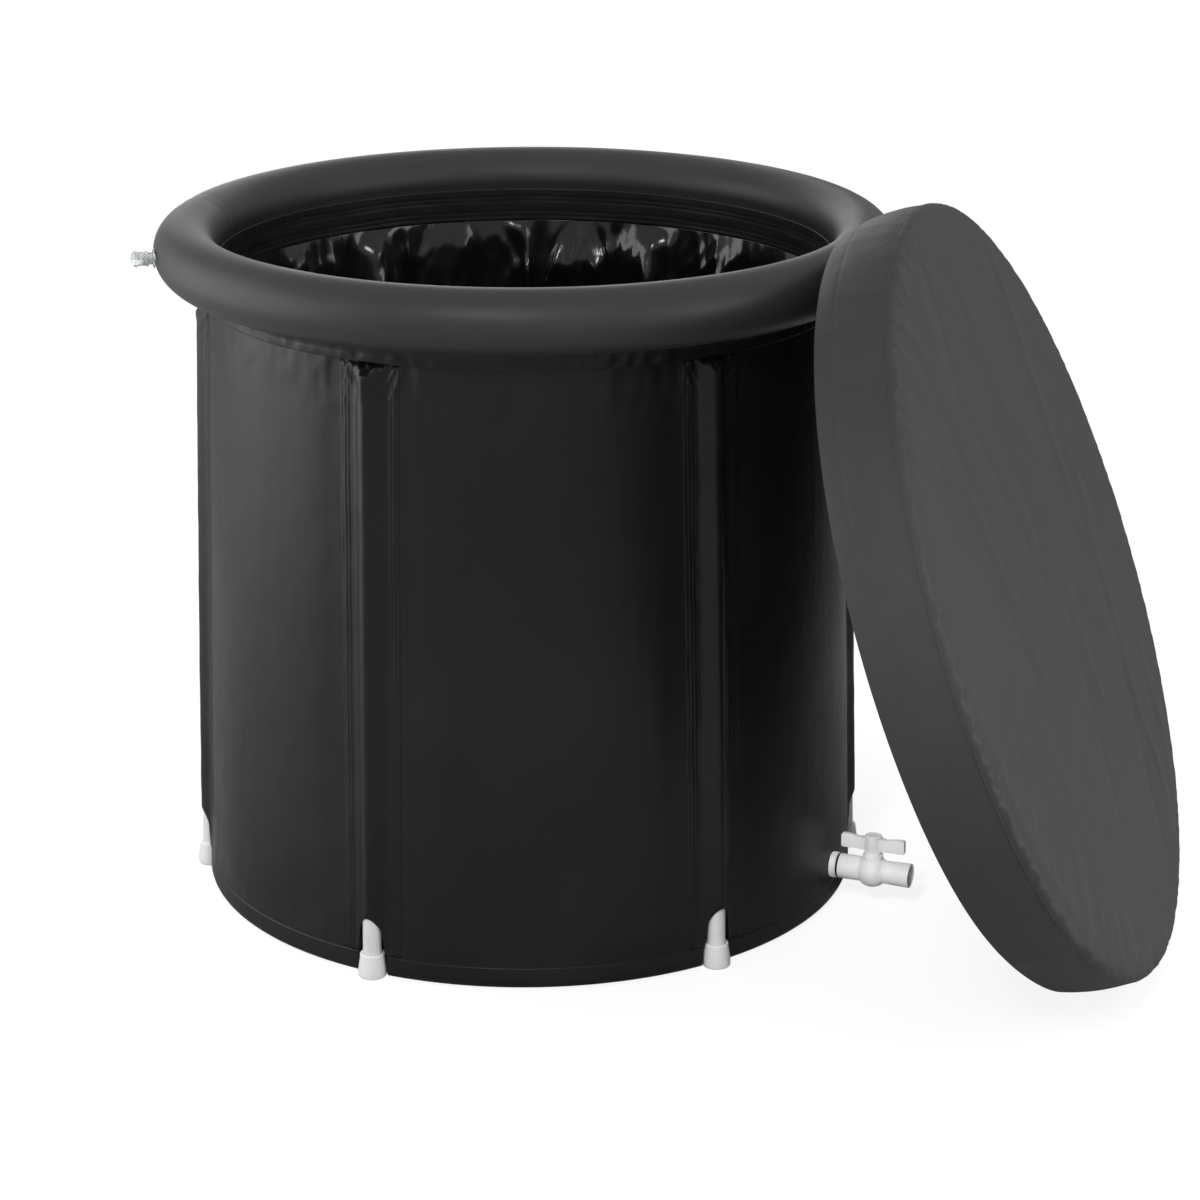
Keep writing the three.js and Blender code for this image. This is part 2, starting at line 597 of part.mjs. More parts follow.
function addBulkhead() {
  tub.add(drain);
  const flange = DRAIN_FLANGE_DIAMETER / 2;
  const linerFace = -(LINER_DEPTH + LINER_SKIN) - flange * FLARE_SLOPE - GAP;
  const gasketEnd = linerFace - GASKET_THICKNESS;
  const flangeFace = gasketEnd - GAP;
  const flangeEnd = flangeFace - DRAIN_FLANGE_THICKNESS;
  const spigot = [
    [FLOW_RADIUS, flangeEnd], [flange, flangeEnd], [flange, flangeFace],
    [SPIGOT_RADIUS, flangeFace], [SPIGOT_RADIUS, SPIGOT_END], [FLOW_RADIUS, SPIGOT_END],
  ];
  addPart(drain, 'drain_bulkhead', alongX(turnedRing(spigot, VALVE_SIDES)), 'whitePlastic');

  const washer = (inner, outer, start, end) =>
    alongX(turnedRing([[inner, start], [outer, start], [outer, end], [inner, end]], VALVE_SIDES));
  const loose = SPIGOT_RADIUS + GAP;
  addPart(drain, 'drain_gasket', washer(loose, flange, gasketEnd, linerFace), 'blackRubber');
  addPart(drain, 'drain_lock_nut', washer(loose, NUT_RADIUS, NUT_FACE, NUT_END), 'whitePlastic');
  const seal = washer(loose, NUT_RADIUS - O_RING_INSET, NUT_END + GAP, BODY_START - GAP);
  addPart(drain, 'drain_o_ring', seal, 'blackRubber');
}

// Body: inlet, round ball housing, tapered outlet and the upright neck that carries the stem
function addValveBody() {
  const inlet = VALVE_INLET_DIAMETER / 2;
  const socket = SPIGOT_RADIUS + GAP;
  const arc = [];
  const arcStart = Math.acos(-Math.sqrt(1 - (inlet / HOUSING_RADIUS) ** 2));
  const arcEnd = Math.acos(Math.sqrt(1 - ((OUTLET_RADIUS - VALVE_OUTLET_TAPER) / HOUSING_RADIUS) ** 2));
  const arcSteps = 6;
  for (let k = 0; k <= arcSteps; k++) {
    const turn = THREE.MathUtils.lerp(arcStart, arcEnd, k / arcSteps);
    arc.push([HOUSING_RADIUS * Math.sin(turn), STEM_PLACE + HOUSING_RADIUS * Math.cos(turn)]);
  }
  const casing = [
    [socket, BODY_START], [inlet, BODY_START], ...arc, [OUTLET_RADIUS, OUTLET_END],
    [CAVITY_RADIUS, OUTLET_END], [CAVITY_RADIUS, THROAT_END], [FLOW_RADIUS, THROAT_END],
    [FLOW_RADIUS, SOCKET_END], [socket, SOCKET_END],
  ];
  const upright = (profile) => turned(profile, VALVE_SIDES).translate(STEM_PLACE, 0, 0);
  const neckBottom = CAVITY_RADIUS + GAP;
  const neck = upright([[0, neckBottom], [NECK_RADIUS, neckBottom], [NECK_RADIUS, NECK_TOP], [0, NECK_TOP]]);
  const passage = upright([
    [0, 0], [STEM_RADIUS + GAP, 0], [STEM_RADIUS + GAP, SEAL_BOTTOM], [COLLAR_RADIUS + GAP, SEAL_BOTTOM],
    [COLLAR_RADIUS + GAP, NECK_TOP + NECK_RISE], [0, NECK_TOP + NECK_RISE],
  ]);
  const shell = alongX(turnedRing(casing, VALVE_SIDES));
  const cavity = alongX(turned([
    [0, THROAT_END], [CAVITY_RADIUS, THROAT_END], [CAVITY_RADIUS, OUTLET_END], [0, OUTLET_END],
  ], VALVE_SIDES));
  addPart(drain, 'valve_body', cut(join(shell, neck), cavity, passage), 'whitePlastic');
}

function addValveInsides() {
  const seatRing = (start) => alongX(turnedRing([
    [FLOW_RADIUS + GAP, start], [BALL_RADIUS, start],
    [BALL_RADIUS, start + SEAT_THICKNESS], [FLOW_RADIUS + GAP, start + SEAT_THICKNESS],
  ], VALVE_SIDES));
  const outletSeat = STEM_PLACE + SEAT_REACH;
  addPart(drain, 'valve_seat_inlet', seatRing(THROAT_END + GAP), 'sealWhite');
  addPart(drain, 'valve_seat_outlet', seatRing(outletSeat), 'sealWhite');

  const start = outletSeat + SEAT_THICKNESS + GAP;
  const end = start + RETAINER_LENGTH;
  const ring = alongX(turnedRing([
    [FLOW_RADIUS, start], [BALL_RADIUS, start], [BALL_RADIUS, end], [FLOW_RADIUS, end],
  ], VALVE_SIDES));
  const slot = closed(new THREE.BoxGeometry(RETAINER_LENGTH, RETAINER_SLOT, 2 * CAVITY_RADIUS));
  slot.translate(end, 0, 0);
  addPart(drain, 'valve_retainer', cut(ring, slot), 'whitePlastic');
}

// Stem, ball and handle turn together; the stem's tang sits in the ball's slot.
function addValveTurningParts() {
  const place = (geometry) => geometry.translate(STEM_PLACE, 0, 0);
  const slotFloor = BALL_RADIUS - STEM_TANG;
  const slot = closed(new THREE.BoxGeometry(2 * BALL_RADIUS, STEM_TANG + 2 * GAP, 2 * STEM_TANG));
  slot.translate(0, 0, slotFloor + STEM_TANG);
  const sphere = new THREE.SphereGeometry(BALL_RADIUS, SMALL_SIDES, SMALL_SIDES / 2);
  const ball = closed(sphere.rotateX(Math.PI / 2));
  const bore = new THREE.CylinderGeometry(FLOW_RADIUS, FLOW_RADIUS, 3 * BALL_RADIUS, SMALL_SIDES);
  const bored = cut(ball, closed(bore.rotateZ(Math.PI / 2)), slot);
  addPart(drain, 'valve_ball', place(bored), 'whitePlastic');

  const shoulder = BALL_RADIUS + GAP;
  const shaft = turned([
    [0, shoulder], [STEM_RADIUS, shoulder], [STEM_RADIUS, SEAL_TOP], [COLLAR_RADIUS, SEAL_TOP],
    [COLLAR_RADIUS, SEAL_TOP + STEM_COLLAR_LENGTH], [STEM_RADIUS, SEAL_TOP + STEM_COLLAR_LENGTH],
    [STEM_RADIUS, STEM_TOP], [0, STEM_TOP],
  ], SMALL_SIDES);
  const tangTop = shoulder + GAP;
  const tangBottom = slotFloor + GAP;
  const tang = new THREE.BoxGeometry(STEM_TANG_WIDTH, STEM_TANG, tangTop - tangBottom);
  tang.translate(0, 0, (tangTop + tangBottom) / 2);
  addPart(drain, 'valve_stem', place(join(shaft, closed(tang))), 'whitePlastic');

  const sealProfile = [
    [STEM_RADIUS + GAP, SEAL_BOTTOM + GAP], [COLLAR_RADIUS, SEAL_BOTTOM + GAP],
    [COLLAR_RADIUS, SEAL_TOP - GAP], [STEM_RADIUS + GAP, SEAL_TOP - GAP],
  ];
  addPart(drain, 'valve_stem_seal', place(turnedRing(sealProfile, SMALL_SIDES)), 'blackRubber');
  addPart(drain, 'valve_handle', place(handleGeometry()), 'whitePlastic');
}

// A flat bar with round corners across a hub, with a blind socket for the stem
function handleGeometry() {
  const half = HANDLE_LENGTH / 2;
  const r = HANDLE_END_RADIUS;
  const side = new THREE.Shape();
  side.moveTo(-half + r, HANDLE_BOTTOM);
  side.lineTo(half - r, HANDLE_BOTTOM);
  side.absarc(half - r, HANDLE_BOTTOM + r, r, -Math.PI / 2, 0);
  side.absarc(half - r, HANDLE_TOP - r, r, 0, Math.PI / 2);
  side.absarc(-half + r, HANDLE_TOP - r, r, Math.PI / 2, Math.PI);
  side.absarc(-half + r, HANDLE_BOTTOM + r, r, Math.PI, 1.5 * Math.PI);
  const extrusion = { depth: HANDLE_THICKNESS, bevelEnabled: false, curveSegments: 4 };
  const bar = new THREE.ExtrudeGeometry(side, extrusion);
  bar.translate(0, 0, -HANDLE_THICKNESS / 2).rotateX(Math.PI / 2);
  const hub = HUB_DIAMETER / 2;
  const hubTop = HANDLE_TOP + HUB_RISE;
  const boss = turned([[0, HANDLE_BOTTOM], [hub, HANDLE_BOTTOM], [hub, hubTop], [0, hubTop]], SMALL_SIDES);
  const socket = turned([
    [0, HANDLE_BOTTOM - NECK_RISE], [STEM_RADIUS + GAP, HANDLE_BOTTOM - NECK_RISE],
    [STEM_RADIUS + GAP, STEM_TOP + GAP], [0, STEM_TOP + GAP],
  ], SMALL_SIDES);
  return cut(join(closed(bar), boss), socket);
}

// Lid: its own frame has the hem in the plane z = 0 and the padded face towards +Z.

const lid = new THREE.Group();
const HEM_INNER = LID_HEM_RADIUS - 2 * LID_SKIN - GAP;
const LID_FACE = LID_SKIRT_HEIGHT + GAP + LID_SHOULDER;

// Slides the tilted lid towards the ring until its hem's inner edge rests there. LID_REST is below
// zero because the tube's facets lie inside its true radius.
function leanLid() {
  const turn = radians(LID_TURN);
  const tilt = radians(LID_LEAN);
  const outward = polar(1, turn, 0);
  const across = polar(1, turn + Math.PI / 2, 0);
  const normal = outward.clone().multiplyScalar(Math.cos(tilt)).setZ(Math.sin(tilt));
  const uphill = normal.clone().cross(across);
  const centreHeight = LID_HEM_RADIUS * Math.cos(tilt);
  const hemClearance = (distance) => {
    const centre = outward.clone().multiplyScalar(distance).addScaledVector(across, LID_SIDE_OFFSET);
    centre.z = centreHeight;
    let nearest = Infinity;
    for (let k = 0; k < 4 * LID_SIDES; k++) {
      const around = (2 * Math.PI * k) / (4 * LID_SIDES);
      const point = centre.clone().addScaledVector(across, HEM_INNER * Math.cos(around));
      point.addScaledVector(uphill, HEM_INNER * Math.sin(around));
      const fromTube = Math.hypot(Math.hypot(point.x, point.y) - RING_RADIUS, point.z - RING_HEIGHT);
      nearest = Math.min(nearest, fromTube - TUBE_RADIUS);
    }
    return nearest;
  };
  let far = RING_OUTER_DIAMETER;
  while (hemClearance(far) > LID_REST) far -= LID_REST_STEP;
  const centre = outward.multiplyScalar(far + LID_REST_STEP).addScaledVector(across, LID_SIDE_OFFSET);
  lid.position.set(centre.x, centre.y, centreHeight);
  lid.quaternion.setFromRotationMatrix(new THREE.Matrix4().makeBasis(across, uphill, normal));
}

function addLid() {
  leanLid();
  tub.add(lid);
  const skirtRows = 3;
  const skirtSide = (inset) => Array.from({ length: skirtRows + 1 }, (_, k) => {
    const share = k / skirtRows;
    return [LID_HEM_RADIUS + LID_SKIRT_BULGE * Math.sin(Math.PI * share) - inset, share * LID_SKIRT_HEIGHT];
  });
  const skirt = [...skirtSide(0), ...skirtSide(LID_SKIN).reverse()];
  addPart(lid, 'lid_skirt', turnedRing(skirt, LID_SIDES), 'lidCloth');

  const hemOuter = LID_HEM_RADIUS - LID_SKIN - GAP;
  const hem = [[HEM_INNER, 0], [hemOuter, 0], [hemOuter, LID_HEM_BAND], [HEM_INNER, LID_HEM_BAND]];
  addPart(lid, 'lid_hem_band', turnedRing(hem, LID_SIDES), 'lidCloth');

  const crown = (radius) => LID_CROWN * (1 - (radius / LID_HEM_RADIUS) ** 2);
  const seam = LID_SKIRT_HEIGHT + GAP;
  const shoulder = (inset) => [0, 45, 90].map((degrees) => {
    const reach = LID_SHOULDER - inset;
    const radius = LID_HEM_RADIUS - LID_SHOULDER + reach * Math.cos(radians(degrees));
    return [radius, seam + reach * Math.sin(radians(degrees))];
  });
  const flat = LID_FACE_STATIONS.map((share) => share * LID_HEM_RADIUS);
  const face = (inset) => flat.map((radius) => [radius, LID_FACE - inset + crown(radius)]);
  const cover = [...shoulder(0), ...face(0), ...face(LID_SKIN).reverse(), ...shoulder(LID_SKIN).reverse()];
  addPart(lid, 'lid_top_panel', turnedRing(cover, LID_SIDES), 'lidCloth');

  const padEdge = LID_HEM_RADIUS - LID_SHOULDER;
  const padTop = (radius) => LID_FACE - LID_SKIN - GAP + crown(radius);
  const padBottom = LID_FACE - LID_SKIN - GAP - LID_FOAM_THICKNESS;
  const pad = [
    [0, padBottom], [padEdge, padBottom], [padEdge, padTop(LID_HEM_RADIUS)],
    [flat[0], padTop(flat[0])], [flat[1], padTop(flat[1])], [0, padTop(0)],
  ];
  addPart(lid, 'lid_foam_pad', turned(pad, LID_SIDES), 'foam');

  const liningTop = padBottom - GAP;
  const liningBottom = liningTop - LID_SKIN;
  const lining = [[0, liningBottom], [hemOuter, liningBottom], [hemOuter, liningTop], [0, liningTop]];
  addPart(lid, 'lid_lining', turned(lining, LID_SIDES), 'lidCloth');
}

addWall();
addInsulation();
addLiner();
addBase();
addRing();
addPoles();
addAirValve();
addBulkhead();
addValveBody();
addValveInsides();
addValveTurningParts();
addLid();

export default tub;
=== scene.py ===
"""Portable cold plunge tub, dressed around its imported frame.

Metres, +Z up, with the origin on the floor at the tub's axis. The front faces -Y, and +X is the side
with the drain valve and the leaning lid.
"""

import logging
import math
import random
from collections.abc import Callable, Sequence
from dataclasses import dataclass
from enum import Enum
from functools import partial

import bmesh
import bpy
from mathutils import Matrix, Vector, noise


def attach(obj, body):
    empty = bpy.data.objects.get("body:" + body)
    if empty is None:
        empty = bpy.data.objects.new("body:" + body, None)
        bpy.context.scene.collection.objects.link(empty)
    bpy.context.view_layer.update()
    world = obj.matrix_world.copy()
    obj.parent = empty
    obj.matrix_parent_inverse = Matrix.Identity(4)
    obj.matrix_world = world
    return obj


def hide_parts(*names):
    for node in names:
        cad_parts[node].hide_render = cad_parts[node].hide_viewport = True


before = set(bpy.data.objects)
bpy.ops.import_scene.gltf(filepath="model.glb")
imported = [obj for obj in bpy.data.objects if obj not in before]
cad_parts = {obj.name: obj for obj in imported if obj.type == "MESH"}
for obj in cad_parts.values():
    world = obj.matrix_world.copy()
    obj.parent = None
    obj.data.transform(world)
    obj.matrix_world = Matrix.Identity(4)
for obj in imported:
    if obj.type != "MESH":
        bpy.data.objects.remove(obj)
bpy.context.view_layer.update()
log = logging.getLogger("plunge_tub")

MM = 0.001
TURN = 2 * math.pi
WELD = 1e-6
GAP = 0.3 * MM
SKIN = 1.2 * MM
SHARP = math.radians(35)
Place = Callable[[float, float], Vector]
Profile = Sequence[tuple[float, float]]


class Body(str, Enum):
    """The rigid bodies that pieces ride on."""

    TUB = "tub"
    HANDLE = "drain_handle"
    PLUG = "air_plug"
    LID = "lid"


def mix(low: float, high: float, share: float) -> float:
    """The value that lies a share of the way from low to high."""
    return low + (high - low) * share


def ease(value: float, start: float, end: float) -> float:
    """A smooth step from 0 at start to 1 at end."""
    share = min(1.0, max(0.0, (value - start) / (end - start)))
    return share * share * (3 - 2 * share)


def bell(value: float, width: float) -> float:
    """A soft bump of height 1 at 0 that dies away over the width."""
    return math.exp(-((value / width) ** 2))


def polar(radius: float, angle: float, z: float) -> Vector:
    """The point at a radius, an angle and a height."""
    return Vector((radius * math.cos(angle), radius * math.sin(angle), z))


def grain(point: Vector, scale: float, seed: float = 0.0) -> float:
    """Smooth noise from -1 to 1, with features of about 1 / scale metres."""
    return noise.noise(point * scale + Vector((seed, -seed, 0.5 * seed)))


def crease(point: Vector, scale: float, seed: float = 0.0) -> float:
    """Noise with narrow crests: 1 along the crests, falling to 0 between them."""
    return bell(grain(point, scale, seed), 0.2)


class Value:
    """A shader socket whose arithmetic adds Math nodes."""

    def __init__(self, shader: "Shader", socket: bpy.types.NodeSocket) -> None:
        """Wraps one output socket of a shader."""
        self.shader = shader
        self.socket = socket

    def _math(self, operation: str, first: object, second: object) -> "Value":
        """Adds one Math node and returns its result."""
        return self.shader.node("Math", {"operation": operation}, {0: first, 1: second})

    def __add__(self, other: object) -> "Value":
        """The sum."""
        return self._math("ADD", self, other)

    def __mul__(self, other: object) -> "Value":
        """The product."""
        return self._math("MULTIPLY", self, other)

    __radd__ = __add__
    __rmul__ = __mul__


class Shader:
    """The nodes of one material or world."""

    def __init__(self, owner: bpy.types.ID) -> None:
        """Starts an empty node tree on its owner."""
        owner.use_nodes = True
        self.tree = owner.node_tree
        self.tree.nodes.clear()

    def node(
        self,
        kind: str,
        settings: dict[str, object] | None = None,
        inputs: dict[int | str, object] | None = None,
        output: int | str = 0,
    ) -> Value:
        """Adds a shader node.

        Args:
            kind: The node's type, without its ShaderNode prefix.
            settings: Properties that are set first.
            inputs: Values or links, by socket name or number.
            output: The output that is returned.

        Returns:
            The chosen output, wrapped for arithmetic.
        """
        made = self.tree.nodes.new("ShaderNode" + kind)
        for name, setting in (settings or {}).items():
            setattr(made, name, setting)
        for name, value in (inputs or {}).items():
            if isinstance(value, Value):
                self.tree.links.new(value.socket, made.inputs[name])
            else:
                made.inputs[name].default_value = value
        return Value(self, made.outputs[output] if made.outputs else None)

    def noise(self, scale: float, detail: float, where: Value) -> Value:
        """Noise of a scale per metre over some coordinates."""
        inputs = {"Vector": where, "Scale": scale, "Detail": detail}
        return self.node("TexNoise", None, inputs)

    def ramp(self, value: Value, low: float, high: float) -> Value:
        """Spreads the span from low to high over 0 to 1, and clamps it."""
        return self.node("MapRange", {"clamp": True}, {0: value, 1: low, 2: high})

    def between(self, share: Value, span: Sequence[float]) -> Value:
        """The value that lies a share of the way along a span."""
        return self.node("MapRange", None, {0: share, 3: span[0], 4: span[1]})

    def blend(self, share: Value, first: Sequence[float], second: Sequence[float]) -> Value:
        """A colour between two others."""
        settings = {"data_type": "RGBA"}
        inputs = {0: share, 6: (*first, 1), 7: (*second, 1)}
        return self.node("Mix", settings, inputs, 2)

    def bump(self, height: Value) -> Value:
        """The normal of a surface with a height in metres."""
        return self.node("Bump", None, {"Distance": 1.0, "Strength": 1.0, "Height": height})

    def surface(self, inputs: dict[int | str, object]) -> None:
        """Ends the material in one principled surface."""
        made = self.node("BsdfPrincipled", None, inputs)
        self.node("OutputMaterial", None, {"Surface": made})


@dataclass(frozen=True)
class SheetFinish:
    """Coated cloth, film or foam: a fine grain, soft mottling and rubbed patches.

    Attributes:
        name: The material's name.
        colour: Its base colour.
        rubbed: The paler colour of rubbed patches.
        roughness: Its least and greatest roughness.
        grain_scale: Grains per metre.
        grain_depth: The grain's depth in metres.
        crumple: The depth of shallow crumples in metres.
        weave: Threads per metre, or 0 for a plain film.
        specular: The strength of its reflections.
        coat: The weight of a clear gloss over it.
        drape: The depth of fine upright wrinkles in metres.
    """

    name: str
    colour: tuple[float, float, float]
    rubbed: tuple[float, float, float]
    roughness: tuple[float, float]
    grain_scale: float
    grain_depth: float
    crumple: float = 0.0
    weave: float = 0.0
    specular: float = 0.5
    coat: float = 0.0
    drape: float = 0.0

    def material(self) -> bpy.types.Material:
        """Builds the material.

        Returns:
            The material, made from Object coordinates.
        """
        made = bpy.data.materials.new(self.name)
        shader = Shader(made)
        where = shader.node("TexCoord", output="Object")
        patches = shader.ramp(shader.noise(5.0, 4.0, where), 0.42, 0.68)
        specks = shader.noise(self.grain_scale, 2.0, where)
        cloudy = shader.noise(38.0, 3.0, where)
        height = specks * self.grain_depth + cloudy * self.crumple
        if self.drape:
            tall = shader.node("Mapping", None, {"Vector": where, "Scale": (1, 1, 0.12)})
            height = height + shader.noise(80.0, 3.0, tall) * self.drape
        if self.weave:
            size = {"Vector": where, "Scale": self.weave / TURN, "Distortion": 0.6}
            warp = shader.node("TexWave", {"bands_direction": "X"}, size, "Fac")
            weft = shader.node("TexWave", {"bands_direction": "Z"}, size, "Fac")
            height = height + (warp + weft) * (0.5 * self.grain_depth)
        wear = patches * 0.7 + specks * 0.3
        inputs = {
            "Base Color": shader.blend(wear, self.colour, self.rubbed),
            "Roughness": shader.between(wear, self.roughness),
            "Specular IOR Level": self.specular,
            "Coat Weight": self.coat,
            "Coat Roughness": 0.12,
            "Normal": shader.bump(height),
        }
        shader.surface(inputs)
        return made


@dataclass(frozen=True)
class MouldedFinish:
    """Moulded plastic or rubber: a faint grain, soft cloudiness and handling marks.

    Attributes:
        name: The material's name.
        colour: Its base colour.
        soiled: The colour of its faintly soiled patches.
        roughness: Its least and greatest roughness.
        grain_depth: The depth of the mould's grain in metres.
        transmission: How much light passes through it.
    """

    name: str
    colour: tuple[float, float, float]
    soiled: tuple[float, float, float]
    roughness: tuple[float, float]
    grain_depth: float
    transmission: float = 0.0

    def material(self) -> bpy.types.Material:
        """Builds the material.

        Returns:
            The material, made from Object coordinates.
        """
        made = bpy.data.materials.new(self.name)
        shader = Shader(made)
        where = shader.node("TexCoord", output="Object")
        marks = shader.ramp(shader.noise(70.0, 5.0, where), 0.45, 0.75)
        specks = shader.noise(2600.0, 2.0, where)
        inputs = {
            "Base Color": shader.blend(marks, self.colour, self.soiled),
            "Roughness": shader.between(marks, self.roughness),
            "Transmission Weight": self.transmission,
            "Normal": shader.bump(specks * self.grain_depth),
        }
        shader.surface(inputs)
        return made


class Finish(Enum):
    """The finishes of the tub, each under its slot in the record."""

    coated_black = SheetFinish(
        "wall_coated_cloth", (0.006, 0.006, 0.0065), (0.011, 0.011, 0.0115), (0.36, 0.5),
        1500.0, 0.05 * MM, crumple=0.35 * MM, specular=0.3, drape=0.35 * MM,
    )
    ring_charcoal = SheetFinish(
        "ring_satin_film", (0.024, 0.024, 0.0245), (0.032, 0.032, 0.0325), (0.44, 0.56),
        1900.0, 0.05 * MM, crumple=0.1 * MM, specular=0.4,
    )
    gloss_liner = SheetFinish(
        "liner_gloss_film", (0.004, 0.004, 0.0043), (0.007, 0.007, 0.0073), (0.13, 0.24),
        900.0, 0.015 * MM, crumple=0.3 * MM, specular=0.5, coat=0.15, drape=0.8 * MM,
    )
    lid_cloth = SheetFinish(
        "lid_woven_cloth", (0.031, 0.031, 0.0314), (0.042, 0.042, 0.0424), (0.52, 0.66),
        1700.0, 0.06 * MM, crumple=0.6 * MM, weave=1100.0, specular=0.3,
    )
    insulation_foam = SheetFinish(
        "closed_cell_foam", (0.7, 0.69, 0.65), (0.78, 0.77, 0.73), (0.8, 0.95),
        420.0, 0.3 * MM, specular=0.2,
    )
    white_plastic = MouldedFinish(
        "white_moulded_plastic", (0.87, 0.87, 0.865), (0.82, 0.82, 0.81), (0.34, 0.46), 0.02 * MM
    )
    clear_plastic = MouldedFinish(
        "clear_soft_plastic", (0.86, 0.88, 0.89), (0.78, 0.8, 0.81), (0.12, 0.25), 0.02 * MM,
        transmission=0.65,
    )
    black_rubber = MouldedFinish(
        "black_seal_rubber", (0.012, 0.012, 0.012), (0.02, 0.02, 0.02), (0.6, 0.75), 0.04 * MM
    )
    seal_white = MouldedFinish(
        "white_seat_plastic", (0.76, 0.76, 0.72), (0.7, 0.7, 0.66), (0.3, 0.45), 0.01 * MM
    )


class Wardrobe:
    """The materials, each made once."""

    def __init__(self) -> None:
        """Builds every finish of the record."""
        self.materials = {finish: finish.value.material() for finish in Finish}

    def dress(self, piece: bpy.types.Object, finish: Finish) -> None:
        """Gives a piece its one material."""
        piece.data.materials.clear()
        piece.data.materials.append(self.materials[finish])


class Form:
    """The mesh of one piece while bmesh operators shape it."""

    def __init__(self) -> None:
        """Starts an empty mesh."""
        self.mesh = bmesh.new()

    @classmethod
    def sheet(cls, columns: int, rows: int, place: Place) -> "Form":
        """A grid laid out as a sheet.

        Args:
            columns: Faces along the first direction.
            rows: Faces along the second direction.
            place: Gives the point for two shares from 0 to 1. Edges that meet are joined.

        Returns:
            The sheet, facing the side from which first then second runs anticlockwise.
        """
        form = cls()
        bmesh.ops.create_grid(form.mesh, x_segments=columns, y_segments=rows, size=0.5)
        layer = form.mesh.loops.layers.uv.new("cloth")
        for face in form.mesh.faces:
            for loop in face.loops:
                loop[layer].uv = (loop.vert.co.x + 0.5, loop.vert.co.y + 0.5)
        for vert in form.mesh.verts:
            vert.co = place(vert.co.x + 0.5, vert.co.y + 0.5)
        bmesh.ops.remove_doubles(form.mesh, verts=form.mesh.verts, dist=WELD)
        bmesh.ops.dissolve_degenerate(form.mesh, edges=form.mesh.edges, dist=WELD)
        return form

    @classmethod
    def turned(cls, profile: Profile, sides: int = 48) -> "Form":
        """A solid of revolution about +Z.

        Args:
            profile: Points of (radius, height) around a closed outline. One that starts and ends
                on the axis is left open there.
            sides: Steps of the turn.

        Returns:
            The solid, facing outwards.
        """
        form = cls()
        verts = [form.mesh.verts.new((radius, 0, z)) for radius, z in profile]
        pairs = list(zip(verts, verts[1:]))
        if profile[0][0] > 0 or profile[-1][0] > 0:
            pairs.append((verts[-1], verts[0]))
        edges = [form.mesh.edges.new(pair) for pair in pairs]
        bmesh.ops.spin(
            form.mesh, geom=verts + edges, cent=(0, 0, 0), axis=(0, 0, 1),
            angle=TURN, steps=sides, use_merge=True,
        )
        bmesh.ops.remove_doubles(form.mesh, verts=form.mesh.verts, dist=WELD)
        bmesh.ops.recalc_face_normals(form.mesh, faces=form.mesh.faces)
        return form

    @classmethod
    def block(cls, size: Sequence[float], centre: Sequence[float], cuts: int = 0) -> "Form":
        """A box, cut along its first direction.

        Args:
            size: Its three widths.
            centre: Its middle.
            cuts: Cuts across its first direction.

        Returns:
            The box.
        """
        form = cls()
        place = Matrix.Translation(centre) @ Matrix.Diagonal((*size, 1))
        bmesh.ops.create_cube(form.mesh, size=1, matrix=place)
        if cuts:
            along = [e for e in form.mesh.edges if abs(e.verts[0].co.x - e.verts[1].co.x) > WELD]
            bmesh.ops.subdivide_edges(form.mesh, edges=along, cuts=cuts, use_grid_fill=True)
        return form

    def soften(self, width: float, segments: int = 2, angle: float = SHARP) -> "Form":
        """Rounds each edge that is sharper than an angle."""
        edges = [
            e for e in self.mesh.edges
            if len(e.link_faces) == 2 and e.calc_face_angle(0.0) > angle
        ]
        bmesh.ops.bevel(
            self.mesh, geom=edges, offset=width, offset_type="OFFSET", affect="EDGES",
            segments=segments, profile=0.5, clamp_overlap=True, material=-1,
        )
        return self

    def move(self, matrix: Matrix) -> "Form":
        """Moves the whole form."""
        bmesh.ops.transform(self.mesh, matrix=matrix, verts=self.mesh.verts)
        return self

    def reshape(self, change: Callable[[Vector], Vector]) -> "Form":
        """Moves each vertex to where the change puts it."""
        for vert in self.mesh.verts:
            vert.co = change(vert.co)
        return self

    def flip(self) -> "Form":
        """Turns the faces round."""
        bmesh.ops.reverse_faces(self.mesh, faces=self.mesh.faces)
        return self

    def around(self, count: int) -> "Form":
        """Repeats the form evenly around +Z, as many times as the count in all."""
        geometry = [*self.mesh.verts, *self.mesh.edges, *self.mesh.faces]
        bmesh.ops.spin(
            self.mesh, geom=geometry, cent=(0, 0, 0), axis=(0, 0, 1),
            angle=TURN * (count - 1) / count, steps=count - 1, use_duplicate=True,
        )
        return self

    def with_form(self, other: "Form") -> "Form":
        """Takes in another form as a second shell of the same piece."""
        spare = bpy.data.meshes.new("spare")
        other.mesh.to_mesh(spare)
        self.mesh.from_mesh(spare)
        bpy.data.meshes.remove(spare)
        return self


